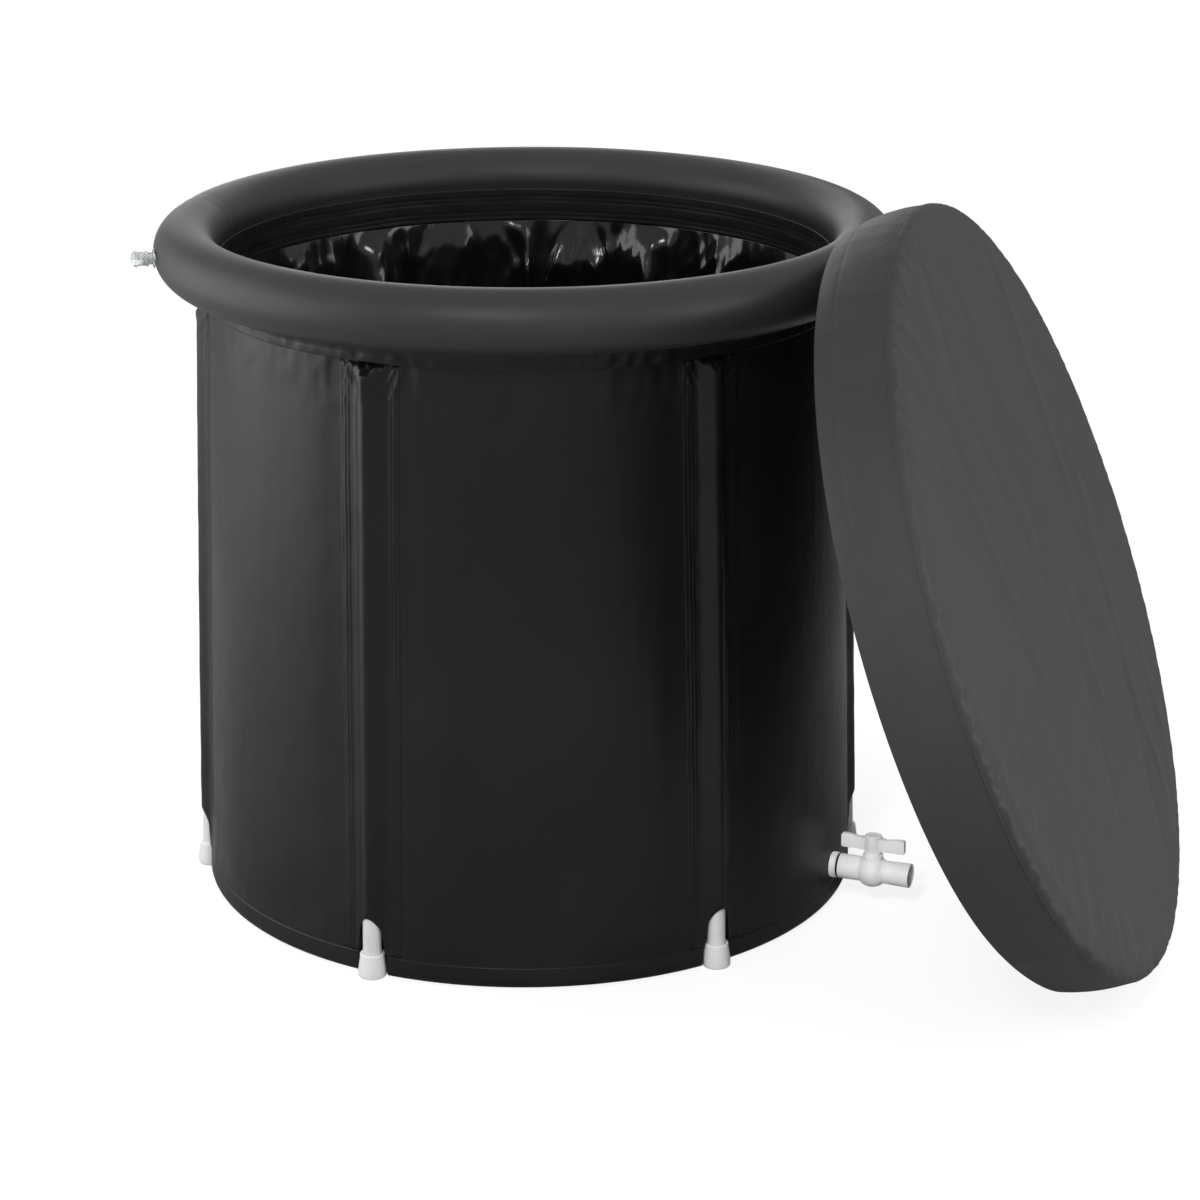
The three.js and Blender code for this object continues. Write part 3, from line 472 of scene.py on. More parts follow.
class Workshop:
    """Turns forms into dressed pieces on their bodies."""

    def __init__(self) -> None:
        """Makes the materials."""
        self.wardrobe = Wardrobe()
        self.bare = set(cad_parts)

    def piece(
        self, form: Form, name: str, finish: Finish, body: Body, *nodes: str, wall: float = 0.0
    ) -> bpy.types.Object:
        """Makes a piece from a form.

        Args:
            form: The shaped mesh.
            name: The piece's name.
            finish: Its finish.
            body: The body that it rides on.
            nodes: The solids that it stands for.
            wall: The thickness that a sheet gets behind its face, or 0 for a solid.

        Returns:
            The piece.
        """
        data = bpy.data.meshes.new(name)
        form.mesh.to_mesh(data)
        form.mesh.free()
        data.set_sharp_from_angle(angle=SHARP)
        made = bpy.data.objects.new(name, data)
        bpy.context.scene.collection.objects.link(made)
        if wall:
            solidify = made.modifiers.new("thickness", "SOLIDIFY")
            solidify.thickness = wall
            solidify.offset = -1
            solidify.use_even_offset = False
        self.wardrobe.dress(made, finish)
        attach(made, body.value)
        if nodes:
            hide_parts(*nodes)
            self.bare -= set(nodes)
        log.info("%s: %d faces on %s", name, len(data.polygons), body.value)
        return made

    def keep(self, finish: Finish, *nodes: str) -> None:
        """Dresses solids that stay as they are."""
        for node in nodes:
            self.wardrobe.dress(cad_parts[node], finish)
            self.bare.discard(node)


@dataclass(frozen=True)
class TubShape:
    """The wall's shape: a mild flare, pressed in behind each pole and further behind its foot."""

    ring_radius: float = 366 * MM
    tube_radius: float = 34 * MM
    ring_height: float = 716 * MM
    wall_top: float = 669 * MM
    wall_bottom: float = 8.3 * MM
    top_radius: float = 342.53 * MM
    flare: float = 22 * MM
    pole_count: int = 6
    first_pole: float = math.radians(4)
    pole_radius: float = 10 * MM
    pole_top: float = 645 * MM
    pole_dent: float = 10.8 * MM
    foot_dent: float = 15.8 * MM
    foot_dent_top: float = 28 * MM
    pole_dent_bottom: float = 43 * MM
    crowding: float = 0.65
    top_dent: float = 2 * MM
    base_lap: float = 0.6 * MM

    @property
    def base_radius(self) -> float:
        """The wall's radius at the floor."""
        return self.top_radius + self.flare

    @property
    def slope(self) -> float:
        """How far the wall leans in for each metre of height."""
        return self.flare / self.wall_top

    @property
    def pole_angles(self) -> list[float]:
        """The direction of each pole."""
        sector = TURN / self.pole_count
        return [self.first_pole + i * sector for i in range(self.pole_count)]

    def flared(self, z: float) -> float:
        """The wall's radius between the poles."""
        return self.base_radius - self.slope * z

    def from_pole(self, angle: float) -> float:
        """The signed angle from the nearest pole."""
        sector = TURN / self.pole_count
        return (angle - self.first_pole + sector / 2) % sector - sector / 2

    def dent(self, angle: float, z: float) -> float:
        """How far the wall is pressed in at a place, close around the pole or its foot."""
        side = self.from_pole(angle) * self.flared(z)
        low = mix(self.foot_dent, self.pole_dent, ease(z, self.foot_dent_top, self.pole_dent_bottom))
        hold = mix(low, self.top_dent, ease(z, self.pole_top, self.wall_top))
        return math.sqrt(max(0.0, hold**2 - side**2))

    def crowded(self, share: float) -> float:
        """The angle for a share of the turn, with columns crowded towards the poles."""
        sector = TURN / self.pole_count
        turns = share * self.pole_count
        return self.first_pole + sector * (turns - self.crowding * math.sin(TURN * turns) / TURN)

    def wall(self, angle: float, z: float) -> float:
        """The wall's radius with its dents."""
        return self.flared(z) - self.dent(angle, z)


@dataclass
class SoftWall:
    """The tub's coated wall with its foam, base, weld band and pole sleeves."""

    shape: TubShape
    shop: Workshop
    foam_depth: float = 4.4 * MM
    foam_thickness: float = 3.4 * MM
    gather_bottom: float = 585 * MM
    gather_top: float = 660 * MM
    sleeve_half: float = 34 * MM
    sleeve_top: float = 660 * MM
    sleeve_mouth: float = 50 * MM
    sleeve_arch: float = 18 * MM
    sleeve_end: float = 25 * MM
    sleeve_skin: float = 0.9 * MM
    weld_lines: tuple[float, ...] = (0.64, 0.76, 0.88)
    band_height: float = 24 * MM
    band_width: float = 29 * MM
    bend_share: float = 0.4
    corner: float = 8 * MM
    disc_area: float = 0.385

    def slack(self, angle: float, z: float) -> float:
        """How far the cloth stands off its drawn line at a place."""
        spot = polar(self.shape.flared(z), angle, z)
        tall = Vector((spot.x, spot.y, 0.22 * z))
        upper = ease(z, self.gather_bottom, self.gather_top)
        upper *= 1 - ease(z, self.gather_top, self.shape.wall_top)
        gathers = crease(Vector((spot.x, spot.y, 0.3 * z)), 62.0, 3.0) - 0.4
        lower = bell(z - 0.04, 0.022)
        side = abs(self.shape.from_pole(angle)) * self.shape.base_radius - self.sleeve_half
        pulled = bell(side - 0.012, 0.016) * ease(z, 0.04, 0.12)
        return (
            2.2 * MM * grain(tall, 9.0, 1.0)
            + 0.5 * MM * grain(spot, 34.0, 2.0)
            + 1.5 * MM * upper * gathers
            + 0.9 * MM * lower * grain(spot, 55.0, 4.0)
            - 1.3 * MM * pulled * (0.6 + 0.4 * grain(spot, 14.0, 5.0))
        )

    def loose(self, angle: float, z: float) -> float:
        """The cloth's slack, held back near the base."""
        return self.slack(angle, z) * mix(0.2, 1.0, ease(z, 0.025, 0.05))

    def cloth_radius(self, angle: float, z: float) -> float:
        """The dressed wall's radius."""
        return self.shape.wall(angle, z) + self.loose(angle, z)

    def make_wall(self) -> None:
        """Makes the wall and the foam behind it."""
        shape = self.shape

        def place(u: float, v: float) -> Vector:
            """A point of the wall's outer face."""
            angle = shape.crowded(u)
            rows = v - 0.5 * math.sin(TURN * v) / TURN
            z = mix(shape.wall_bottom, shape.wall_top, rows)
            return polar(self.cloth_radius(angle, z), angle, z)

        def behind(u: float, v: float) -> Vector:
            """A point of the foam's outer face."""
            angle = shape.crowded(u)
            z = mix(shape.wall_bottom, shape.pole_top, v)
            return polar(shape.wall(angle, z) - self.foam_depth, angle, z)

        wall = self.shop.piece(
            Form.sheet(480, 64, place), "tub_wall", Finish.coated_black, Body.TUB,
            "outer_wall", wall=SKIN,
        )
        girth = TURN * shape.flared(shape.wall_top / 2)
        foam = self.shop.piece(
            Form.sheet(300, 24, behind), "wall_foam", Finish.insulation_foam, Body.TUB,
            "wall_insulation", wall=self.foam_thickness,
        )

    def make_base(self) -> None:
        """Makes the base panel and the band that laps the foot of the wall."""
        shape = self.shape

        def disc(u: float, v: float) -> Vector:
            """A point of the base panel."""
            edge = shape.wall(TURN * u, 0) - self.corner
            return polar(edge * v, TURN * u, 0)

        def band(u: float, v: float) -> Vector:
            """A point of the band, first round the corner and then up the wall."""
            angle = shape.crowded(u)
            bend = self.bend_share
            turn = min(1.0, v / bend) * math.pi / 2
            z = self.corner * (1 - math.cos(turn))
            out = shape.wall(angle, z) - self.corner * (1 - math.sin(turn)) + shape.base_lap
            if v > bend:
                z = mix(self.corner, self.band_height, (v - bend) / (1 - bend))
                out = self.cloth_radius(angle, z) + shape.base_lap
            thinned = 0.45 * MM * ease(z, 0.012, self.band_height)
            return polar(out - thinned, angle, z)

        panel = self.shop.piece(
            Form.sheet(180, 14, disc).flip(), "base_sheet", Finish.coated_black, Body.TUB,
            "base_panel", wall=SKIN,
        )
        lap = self.shop.piece(
            Form.sheet(480, 14, band), "base_band", Finish.coated_black, Body.TUB,
            "base_weld_band", wall=SKIN,
        )

    def sleeve_point(self, angle: float, u: float, v: float) -> Vector:
        """A point of one sleeve.

        Args:
            angle: The pole's direction.
            u: From 0 at one welded edge to 1 at the other.
            v: From 0 at the lower edge to 1 at the top.

        Returns:
            The point on the sleeve's face.
        """
        shape = self.shape
        across = 2 * u - 1
        reach = abs(across) * self.sleeve_half
        swell = 0.5 + 0.5 * math.cos(math.pi * min(1.0, abs(across) / 0.58))
        mouth = self.sleeve_mouth + self.sleeve_arch * (1 - min(1.0, reach / (14 * MM)) ** 2)
        z = mix(mix(mouth, self.sleeve_end, ease(reach, 12.5 * MM, 17 * MM)), self.sleeve_top, v)
        side = across * self.sleeve_half
        turned = angle + side / shape.flared(z)
        on_wall = math.sqrt((shape.flared(z) + self.loose(turned, z)) ** 2 - side**2)
        hip = shape.pole_top + 0.5 * MM + 0.7 * reach
        share = mix(1.0, 0.12, ease(z, hip, hip + 10 * MM))
        raised = (shape.pole_radius + 1.6 * MM) * swell * share
        groove = 0.5 * MM * sum(bell(abs(across) - line, 0.03) for line in self.weld_lines)
        edge = 1 - ease(abs(across), 0.84, 1.0)
        fanned = math.cos(reach * 560 - (z - 0.6) * 330 + 2 * angle)
        tuck = 1.3 * MM * ease(z, 0.6, 0.65) * fanned
        soft = 0.8 * MM * grain(Vector((side, 3 * angle, 0.25 * z)), 60.0, 7.0)
        fine = 0.35 * MM * grain(Vector((side, angle, z)), 90.0, 8.0)
        eased = (soft + fine + tuck) * edge * (1 - 0.8 * swell * share)
        out = on_wall + mix(0.2 * MM, 1.0 * MM, edge) + raised - groove + eased
        return Matrix.Rotation(angle, 3, "Z") @ Vector((out, side, z))

    def make_sleeves(self) -> None:
        """Makes the sleeve over each pole."""
        for number, angle in enumerate(self.shape.pole_angles, 1):
            sleeve = self.shop.piece(
                Form.sheet(68, 110, partial(self.sleeve_point, angle)), f"sleeve_{number}",
                Finish.coated_black, Body.TUB, f"pole_sleeve_{number}", wall=self.sleeve_skin,
            )

    def build(self) -> None:
        """Makes every piece of the wall."""
        self.make_wall()
        self.make_base()
        self.make_sleeves()


@dataclass
class InflatedRing:
    """The inflated ring, the gathered skirt that the wall hangs from and the liner's weld band."""

    shape: TubShape
    shop: Workshop
    join_angle: float = math.radians(168)
    join_width: float = 5 * MM
    band_radius: float = 333.03 * MM
    band_bottom: float = 669.3 * MM
    band_top: float = 706.5 * MM
    band_lines: tuple[float, ...] = (0.14, 0.27, 0.62, 0.74)
    skirt_lap: float = 8 * MM
    skirt_width: float = 35 * MM
    seam_turn: float = math.radians(192)
    pucker_turn: float = math.radians(250)

    def skin(self, u: float, v: float) -> Vector:
        """A point of the ring's film."""
        shape = self.shape
        angle = TURN * u
        turn = TURN * v
        spot = polar(shape.ring_radius, angle, 0)
        along = (angle - self.join_angle) * shape.ring_radius
        lap = 0.6 * MM * bell(along, self.join_width)
        drawn = -0.8 * MM * bell(along, 4 * self.join_width)
        seam = -0.9 * MM * bell(math.remainder(turn - self.seam_turn, TURN), 0.09)
        waist = 0.7 * MM * grain(spot, 5.0, 9.0)
        pucker = 0.5 * MM * bell(math.remainder(turn - self.pucker_turn, TURN), 0.35)
        pucker *= crease(spot, 70.0, 10.0)
        radius = shape.tube_radius - 0.6 * MM + lap + drawn + seam + waist * 0.6 - pucker
        out = shape.ring_radius + radius * math.cos(turn)
        return polar(out, angle, shape.ring_height + radius * math.sin(turn))

    def skirt(self, u: float, v: float) -> Vector:
        """A point of the gathered skirt between the wall's top and the ring."""
        shape = self.shape
        angle = TURN * u
        low = shape.wall_top - self.skirt_lap
        seat = shape.tube_radius + 1.6 * MM
        contact = math.radians(mix(243, 262, ease(v, 0.6, 1.0)))
        top = Vector((seat * math.cos(contact), seat * math.sin(contact)))
        foot = shape.flared(low) + 1.9 * MM
        lower = (foot, mix(low, shape.wall_top + SKIN, min(1.0, v / 0.4)))
        upper = (shape.ring_radius + top.x, shape.ring_height + top.y)
        rise = ease(v, 0.4, 0.62)
        out = mix(lower[0], upper[0], rise)
        z = mix(lower[1], upper[1], rise)
        spot = polar(out, angle, 0.3 * z)
        gather = crease(spot, 58.0, 3.0) - 0.35
        depth = 1.7 * MM * bell(v - 0.3, 0.3) * gather
        return polar(out + depth, angle, z)

    def band(self, u: float, v: float) -> Vector:
        """A point of the liner's weld band, with its horizontal weld lines."""
        angle = -TURN * u
        z = mix(self.band_bottom, self.band_top, v)
        spot = polar(self.band_radius, angle, z)
        drift = v + 0.03 * grain(polar(self.band_radius, angle, 0), 14.0, 29.0)
        lines = sum(bell(drift - at, 0.03) for at in self.band_lines)
        wave = 0.9 * MM * grain(Vector((spot.x, spot.y, 2 * z)), 26.0, 11.0) * bell(v - 0.45, 0.35)
        return polar(self.band_radius - 1 * MM + 0.45 * MM * lines - wave, angle, z)

    def build(self) -> None:
        """Makes the ring's pieces."""
        ring = self.shop.piece(
            Form.sheet(360, 56, self.skin), "inflated_ring", Finish.ring_charcoal, Body.TUB,
            "air_ring",
        )
        skirt = self.shop.piece(
            Form.sheet(540, 20, self.skirt), "ring_skirt", Finish.coated_black, Body.TUB,
            "ring_yoke", wall=SKIN,
        )
        band = self.shop.piece(
            Form.sheet(360, 24, self.band), "liner_weld_band", Finish.coated_black, Body.TUB,
            "liner_band", wall=1 * MM,
        )


@dataclass
class HungLiner:
    """The glossy liner, hung from its top edge in gathered folds, and its floor."""

    shape: TubShape
    shop: Workshop
    depth: float = 9.2 * MM
    bottom: float = 3 * MM
    gather: float = 1.12
    fold_depth: float = 12 * MM
    lesser_depth: float = 7 * MM
    thin_depth: float = 2.4 * MM
    bulge: float = 7 * MM
    fall: float = 42 * MM
    floor_gap: float = 9.5 * MM
    floor_height: float = 2.7 * MM
    disc_area: float = 0.385

    @staticmethod
    def fold(angle: float, count: float, drift: float, drifts: float) -> float:
        """Narrow upright crests from 0 to 1.

        Args:
            angle: The direction.
            count: Crests in a turn.
            drift: How far the crests wander from even spacing, in radians.
            drifts: How often they wander in a turn.

        Returns:
            The height there.
        """
        return (0.5 + 0.5 * math.cos(count * angle + drift * math.sin(drifts * angle))) ** 3

    def hang(self, u: float, v: float) -> Vector:
        """A point of the liner's inner face."""
        shape = self.shape
        angle = -TURN * u
        z = mix(self.bottom, shape.wall_top, 1 - (1 - v) ** 1.7)
        below = shape.wall_top - z
        low = mix(shape.foot_dent, shape.pole_dent, ease(z, shape.pole_dent_bottom, shape.pole_top))
        dent = low * bell(shape.from_pole(angle), 0.055)
        dent *= 1 - ease(z, shape.pole_top, shape.wall_top)
        round_spot = polar(1, angle, 5 * z)
        sway = angle + 0.03 * grain(round_spot, 3.0, 12.0)
        sway += 2.8 * below * grain(polar(1, angle, 0), 6.0, 18.0)
        loose = ease(grain(round_spot, 4.0, 19.0), -0.4, 0.4)
        slanted = polar(shape.top_radius, angle + 1.4 * z, 0.5 * z)
        crossing = 4 * MM * crease(slanted, 30.0, 15.0) * ease(below, 0.004, 0.03)
        folds = self.fold_depth * self.fold(sway, 23, 1.6, 4)
        folds += self.lesser_depth * self.fold(sway, 52, 2.2, 7) * mix(0.4, 1.0, loose)
        folds += self.thin_depth * self.fold(sway, 98, 3, 13)
        onset = (1 - math.exp(-below / (self.fall * mix(0.7, 1.4, loose)))) * ease(z, 0.045, 0.14)
        slack = onset * (self.bulge + folds + crossing) * mix(1.0, 0.5, ease(below, 0.1, 0.45))
        return polar(shape.flared(z) - self.depth - dent - slack, angle, z)

    def floor(self, u: float, v: float) -> Vector:
        """A point of the liner's floor."""
        shape = self.shape
        edge = shape.wall(TURN * u, 0) - self.floor_gap
        spot = polar(edge * v, TURN * u, 0)
        rise = 1.2 * MM * crease(spot, 9.0, 16.0) * ease(1 - v, 0.0, 0.12)
        return spot + Vector((0, 0, self.floor_height + rise))

    def build(self) -> None:
        """Makes the liner's pieces."""
        liner = self.shop.piece(
            Form.sheet(900, 52, self.hang), "hung_liner", Finish.gloss_liner, Body.TUB,
            "inner_liner", wall=SKIN,
        )
        floor = self.shop.piece(
            Form.sheet(160, 30, self.floor), "liner_floor_sheet", Finish.gloss_liner, Body.TUB,
            "liner_floor", wall=SKIN,
        )


@dataclass
class Poles:
    """The plastic support poles and their tapered feet."""

    shape: TubShape
    shop: Workshop
    wall: float = 1.7 * MM
    sole: float = 3 * MM
    foot_height: float = 26 * MM
    foot_skirt: float = 7.8 * MM
    foot_top: float = 12.5 * MM
    foot_radius: float = 15 * MM

    def build(self) -> None:
        """Makes each pole and its foot, leaning with the wall."""
        lean = Matrix.Identity(4)
        lean[0][2] = -self.shape.slope
        outer = self.shape.pole_radius
        inner = outer - self.wall
        bottom = self.sole + GAP
        top = self.shape.pole_top
        tube = [(inner, bottom), (outer, bottom), (outer, top), (inner, top)]
        socket = outer + GAP
        height = self.foot_height
        foot = [
            (0, 0), (self.foot_radius - 1 * MM, 0), (self.foot_radius, 1.2 * MM),
            (self.foot_radius, self.foot_skirt), (self.foot_top + 0.6 * MM, height - 4 * MM),
            (self.foot_top + 0.6 * MM, height - 1.2 * MM), (self.foot_top, height),
            (socket, height), (socket, self.sole), (0, self.sole),
        ]
        for number, angle in enumerate(self.shape.pole_angles, 1):
            stand = Matrix.Translation((self.shape.base_radius, 0, 0)) @ lean
            place = Matrix.Rotation(angle, 4, "Z") @ stand
            self.shop.piece(
                Form.turned(tube, 36).soften(0.4 * MM).move(place), f"pole_{number}",
                Finish.white_plastic, Body.TUB, f"support_pole_{number}",
            )
            self.shop.piece(
                Form.turned(foot, 40).soften(0.5 * MM).move(place), f"foot_{number}",
                Finish.white_plastic, Body.TUB, f"pole_foot_{number}",
            )


@dataclass
class AirValve:
    """The clear air valve: a flanged neck, a ribbed push-in cap and its strap."""

    shop: Workshop
    place: Vector = Vector((-389.912, -83.9, 716)) * MM
    turn: float = math.radians(192.144)
    flange: float = 10.5 * MM
    neck: float = 6.5 * MM
    neck_end: float = 13.1 * MM
    bore: float = 3.2 * MM
    cap: float = 8.5 * MM
    cap_start: float = 7.1 * MM
    cap_end: float = 24.1 * MM
    stub: float = 5 * MM
    stub_depth: float = 9 * MM
    plug_length: float = 8 * MM
    face: float = 2.1 * MM
    ring_count: int = 4
    ring_pitch: float = 1.9 * MM
    ring_height: float = 0.9 * MM
    rib_count: int = 14
    strap_size: tuple[float, float, float] = (3.2 * MM, 26 * MM, 1.2 * MM)
    strap_place: tuple[float, float, float] = (-6.5 * MM, 15 * MM, 1.2 * MM)

    def build(self) -> None:
        """Makes the valve's pieces along its own axis, then puts them on the ring."""
        about = Matrix.Rotation(math.pi / 2, 4, "Y")
        place = Matrix.Translation(self.place) @ Matrix.Rotation(self.turn, 4, "Z") @ about
        face = self.face
        base = [
            (self.bore, -self.stub_depth), (self.stub, -self.stub_depth), (self.stub, GAP),
            (self.flange, GAP), (self.flange, face - 0.5 * MM), (self.flange - 1.5 * MM, face),
            (self.neck, face + 0.5 * MM), (self.neck, self.neck_end), (self.bore, self.neck_end),
        ]
        body = Form.turned(base, 40).soften(0.35 * MM)
        strap = Form.block(self.strap_size, self.strap_place).soften(0.4 * MM)
        self.shop.piece(
            body.with_form(strap).move(place), "air_valve_neck", Finish.clear_plastic, Body.TUB,
            "air_valve_base",
        )
        self.shop.piece(
            self.cap_form().move(place), "air_valve_cap", Finish.clear_plastic, Body.PLUG,
            "air_valve_plug",
        )

    def cap_form(self) -> Form:
        """The push-in cap, with rings round its waist and grip ribs round its end."""
        plug = self.bore - GAP
        hollow = self.neck + GAP
        seat = self.neck_end + GAP
        tip = seat - self.plug_length
        start, end = self.cap_start, self.cap_end
        waist = self.cap - 1.5 * MM
        crest = waist + self.ring_height
        outline = [
            (0, tip), (plug, tip), (plug, seat), (hollow, seat), (hollow, start), (self.cap, start),
            (self.cap, start + 2 * MM),
        ]
        for step in range(self.ring_count):
            low = start + 2.4 * MM + self.ring_pitch * step
            outline += [(waist, low), (waist, low + 0.7 * MM)]
            outline += [(crest, low + 1 * MM), (crest, low + 1.5 * MM)]
        outline += [
            (waist, end - 6.6 * MM), (self.cap, end - 5.2 * MM), (self.cap, end - 2.6 * MM),
            (self.cap - 2.4 * MM, end), (0, end),
        ]
        rib = Form.block((0.9 * MM, 1.1 * MM, 2.8 * MM), (self.cap - 0.2 * MM, 0, end - 3.9 * MM))
        return Form.turned(outline, 40).soften(0.15 * MM).with_form(rib.around(self.rib_count))


@dataclass
class DrainValve:
    """The drain fitting and its quarter-turn ball valve, along the drain's own axis."""

    shop: Workshop
    place: Vector = Vector((336.567, -133.451, 43)) * MM
    turn: float = math.radians(338.371)
    nut_face: float = 0.8 * MM
    nut_end: float = 7.76 * MM
    nut_radius: float = 14 * MM
    body_start: float = 10.36 * MM
    spigot_end: float = 32.36 * MM
    stem_place: float = 47.75 * MM
    outlet_end: float = 91.25 * MM
    bore: float = 6.5 * MM
    cavity: float = 10.8 * MM
    spigot: float = 10.5 * MM
    inlet: float = 13.75 * MM
    housing: float = 18.4 * MM
    outlet: float = 13.5 * MM
    neck: float = 9.5 * MM
    neck_top: float = 24 * MM
    handle_bottom: float = 24.3 * MM
    handle_height: float = 15.6 * MM
    handle_half: float = 36 * MM
    hub: float = 9 * MM
    flange: float = 17 * MM
    flange_back: float = -14.86 * MM
    flange_face: float = -12.36 * MM
    knurl_count: int = 36
    seal_radius: float = 13.2 * MM
    seal_thickness: float = 1.2 * MM
    waist: float = 12.9 * MM
    outlet_root: float = 12.7 * MM
    outlet_swell: float = 13.2 * MM
    socket_end: float = 32.66 * MM
    cavity_start: float = 36.06 * MM
    well: float = 6.3 * MM
    neck_root: float = 13 * MM
    neck_foot: float = 11.6 * MM
    retainer: float = 10.5 * MM
    retainer_start: float = 59.4 * MM
    retainer_end: float = 65.4 * MM

    def __post_init__(self) -> None:
        """Works out where the valve's own frame and its axis lie."""
        self.frame = Matrix.Translation(self.place) @ Matrix.Rotation(self.turn, 4, "Z")
        self.along = self.frame @ Matrix.Rotation(math.pi / 2, 4, "Y")
        self.stem = self.frame @ Matrix.Translation((self.stem_place, 0, 0))

    def make_fitting(self) -> None:
        """Makes the flanged spigot, the knurled lock nut and the sealing ring."""
        spigot = [
            (self.bore, self.flange_back), (self.flange, self.flange_back),
            (self.flange, self.flange_face), (self.spigot, self.flange_face),
            (self.spigot, self.spigot_end), (self.bore, self.spigot_end),
        ]
        self.shop.piece(
            Form.turned(spigot, 48).soften(0.5 * MM).move(self.along), "drain_spigot",
            Finish.white_plastic, Body.TUB, "drain_bulkhead",
        )
        loose = self.spigot + GAP
        grip = self.nut_radius - 0.7 * MM
        nut = [
            (loose, self.nut_face), (self.nut_radius, self.nut_face),
            (self.nut_radius, self.nut_face + 1.4 * MM), (grip, self.nut_face + 2 * MM),
            (grip, self.nut_end), (loose, self.nut_end),
        ]
        knurl = Form.block((2 * MM, 1.2 * MM, 4.6 * MM), (grip, 0, self.nut_face + 4 * MM))
        knurl.around(self.knurl_count)
        self.shop.piece(
            Form.turned(nut, 72).soften(0.3 * MM).with_form(knurl).move(self.along),
            "drain_nut", Finish.white_plastic, Body.TUB, "drain_lock_nut",
        )
        middle = (self.nut_end + self.body_start) / 2
        root = self.seal_radius - self.seal_thickness
        crown = [
            (root + self.seal_thickness * math.cos(step), middle + 1 * MM * math.sin(step))
            for step in (math.radians(k) for k in range(-120, 121, 30))
        ]
        seal = [(loose, middle - 0.9 * MM), *crown, (loose, middle + 0.9 * MM)]
        self.shop.piece(
            Form.turned(seal, 48).move(self.along), "drain_seal", Finish.black_rubber, Body.TUB,
            "drain_o_ring",
        )

    def make_body(self) -> None:
        """Makes the valve's body: inlet, round housing, outlet and the stem's two-step neck."""
        socket = self.spigot + GAP
        middle = self.stem_place
        arc = [
            (self.housing * math.sin(step), middle + self.housing * math.cos(step))
            for step in (math.radians(k) for k in range(132, 45, -7))
        ]
        end = self.outlet_end
        casing = [
            (socket, self.body_start), (self.inlet, self.body_start),
            (self.inlet, middle - 14.6 * MM), (self.waist, middle - 14 * MM), *arc,
            (self.outlet_root, middle + 13.8 * MM), (self.outlet_swell, end - 8 * MM),
            (self.outlet, end), (self.cavity + 0.6 * MM, end), (self.cavity, end - 1.2 * MM),
            (self.cavity, self.cavity_start), (self.bore, self.cavity_start),
            (self.bore, self.socket_end), (socket, self.socket_end),
        ]
        body = Form.turned(casing, 64).soften(0.6 * MM, 2, math.radians(50)).move(self.along)
        step = self.neck_top - 4.6 * MM
        neck = [
            (self.well, self.neck_root), (self.neck_foot, self.neck_root),
            (self.neck_foot - 0.4 * MM, step), (self.neck, step + 0.3 * MM),
            (self.neck, self.neck_top), (self.well, self.neck_top),
        ]
        collar = Form.turned(neck, 48).soften(0.5 * MM)
        lug = Form.block((4 * MM, 5 * MM, 4 * MM), (0, 9.6 * MM, self.neck_top - 2.6 * MM))
        lug.soften(0.6 * MM)
        self.shop.piece(
            body.with_form(collar.with_form(lug).move(self.stem)), "valve_casing",
            Finish.white_plastic, Body.TUB, "valve_body",
        )

    def make_handle(self) -> None:
        """Makes the T handle: a flat bar that swells into a plain round hub."""
        half = self.handle_half
        tall = self.handle_height
        middle = self.handle_bottom + tall / 2
        bar = Form.block((2 * half, 2, tall), (0, 0, middle), 40)
        ends = [
            e for e in bar.mesh.edges
            if all(abs(abs(v.co.x) - half) < WELD for v in e.verts)
            and abs(e.verts[0].co.z - e.verts[1].co.z) < WELD
        ]
        bmesh.ops.bevel(
            bar.mesh, geom=ends, offset=4.5 * MM, offset_type="OFFSET", affect="EDGES",
            segments=6, profile=0.5, clamp_overlap=True, material=-1,
        )

        def swell(point: Vector) -> Vector:
            """A point of the bar, widened towards the hub and dipped beside it."""
            reach = abs(point.x)
            width = 2.7 * MM + 5.6 * MM * bell(reach, 9.5 * MM) + 0.5 * MM * ease(reach, 0.02, 0.036)
            dip = -1.8 * MM * bell(reach - 15 * MM, 8 * MM) * ease(point.z, middle, middle + tall / 2)
            return Vector((point.x, point.y * width, point.z + dip))

        bar.reshape(swell).soften(0.9 * MM, 3, math.radians(50))
        low = self.handle_bottom
        top = low + tall + 2 * MM
        hub = [
            (0, low), (self.hub - 1 * MM, low), (self.hub + 0.4 * MM, low + 4 * MM),
            (self.hub + 0.4 * MM, top - 0.8 * MM), (self.hub - 0.6 * MM, top),
            (self.hub - 2.2 * MM, top), (self.hub - 2.6 * MM, top - 0.5 * MM), (0, top - 0.5 * MM),
        ]
        boss = Form.turned(hub, 48)
        self.shop.piece(
            bar.with_form(boss).move(self.stem), "drain_handle_bar", Finish.white_plastic,
            Body.HANDLE, "valve_handle",
        )

    def make_retainer(self) -> None:
        """Makes the slotted ring that holds the ball, seen down the outlet."""
        start, end = self.retainer_start, self.retainer_end
        ring = [(self.bore, start), (self.retainer, start), (self.retainer, end), (self.bore, end)]
        lugs = Form.block((2.6 * MM, 3.4 * MM, 2 * MM), (8.6 * MM, 0, end + 0.6 * MM))
        lugs.soften(0.3 * MM).around(4)
        self.shop.piece(
            Form.turned(ring, 48).soften(0.4 * MM).with_form(lugs).move(self.along),
            "ball_retainer", Finish.white_plastic, Body.TUB, "valve_retainer",
        )

    def build(self) -> None:
        """Makes the valve and dresses the solids that it hides."""
        self.make_fitting()
        self.make_body()
        self.make_handle()
        self.make_retainer()
        self.shop.keep(Finish.white_plastic, "valve_ball", "valve_stem")
        self.shop.keep(Finish.seal_white, "valve_seat_inlet", "valve_seat_outlet")
        self.shop.keep(Finish.black_rubber, "valve_stem_seal", "drain_gasket")


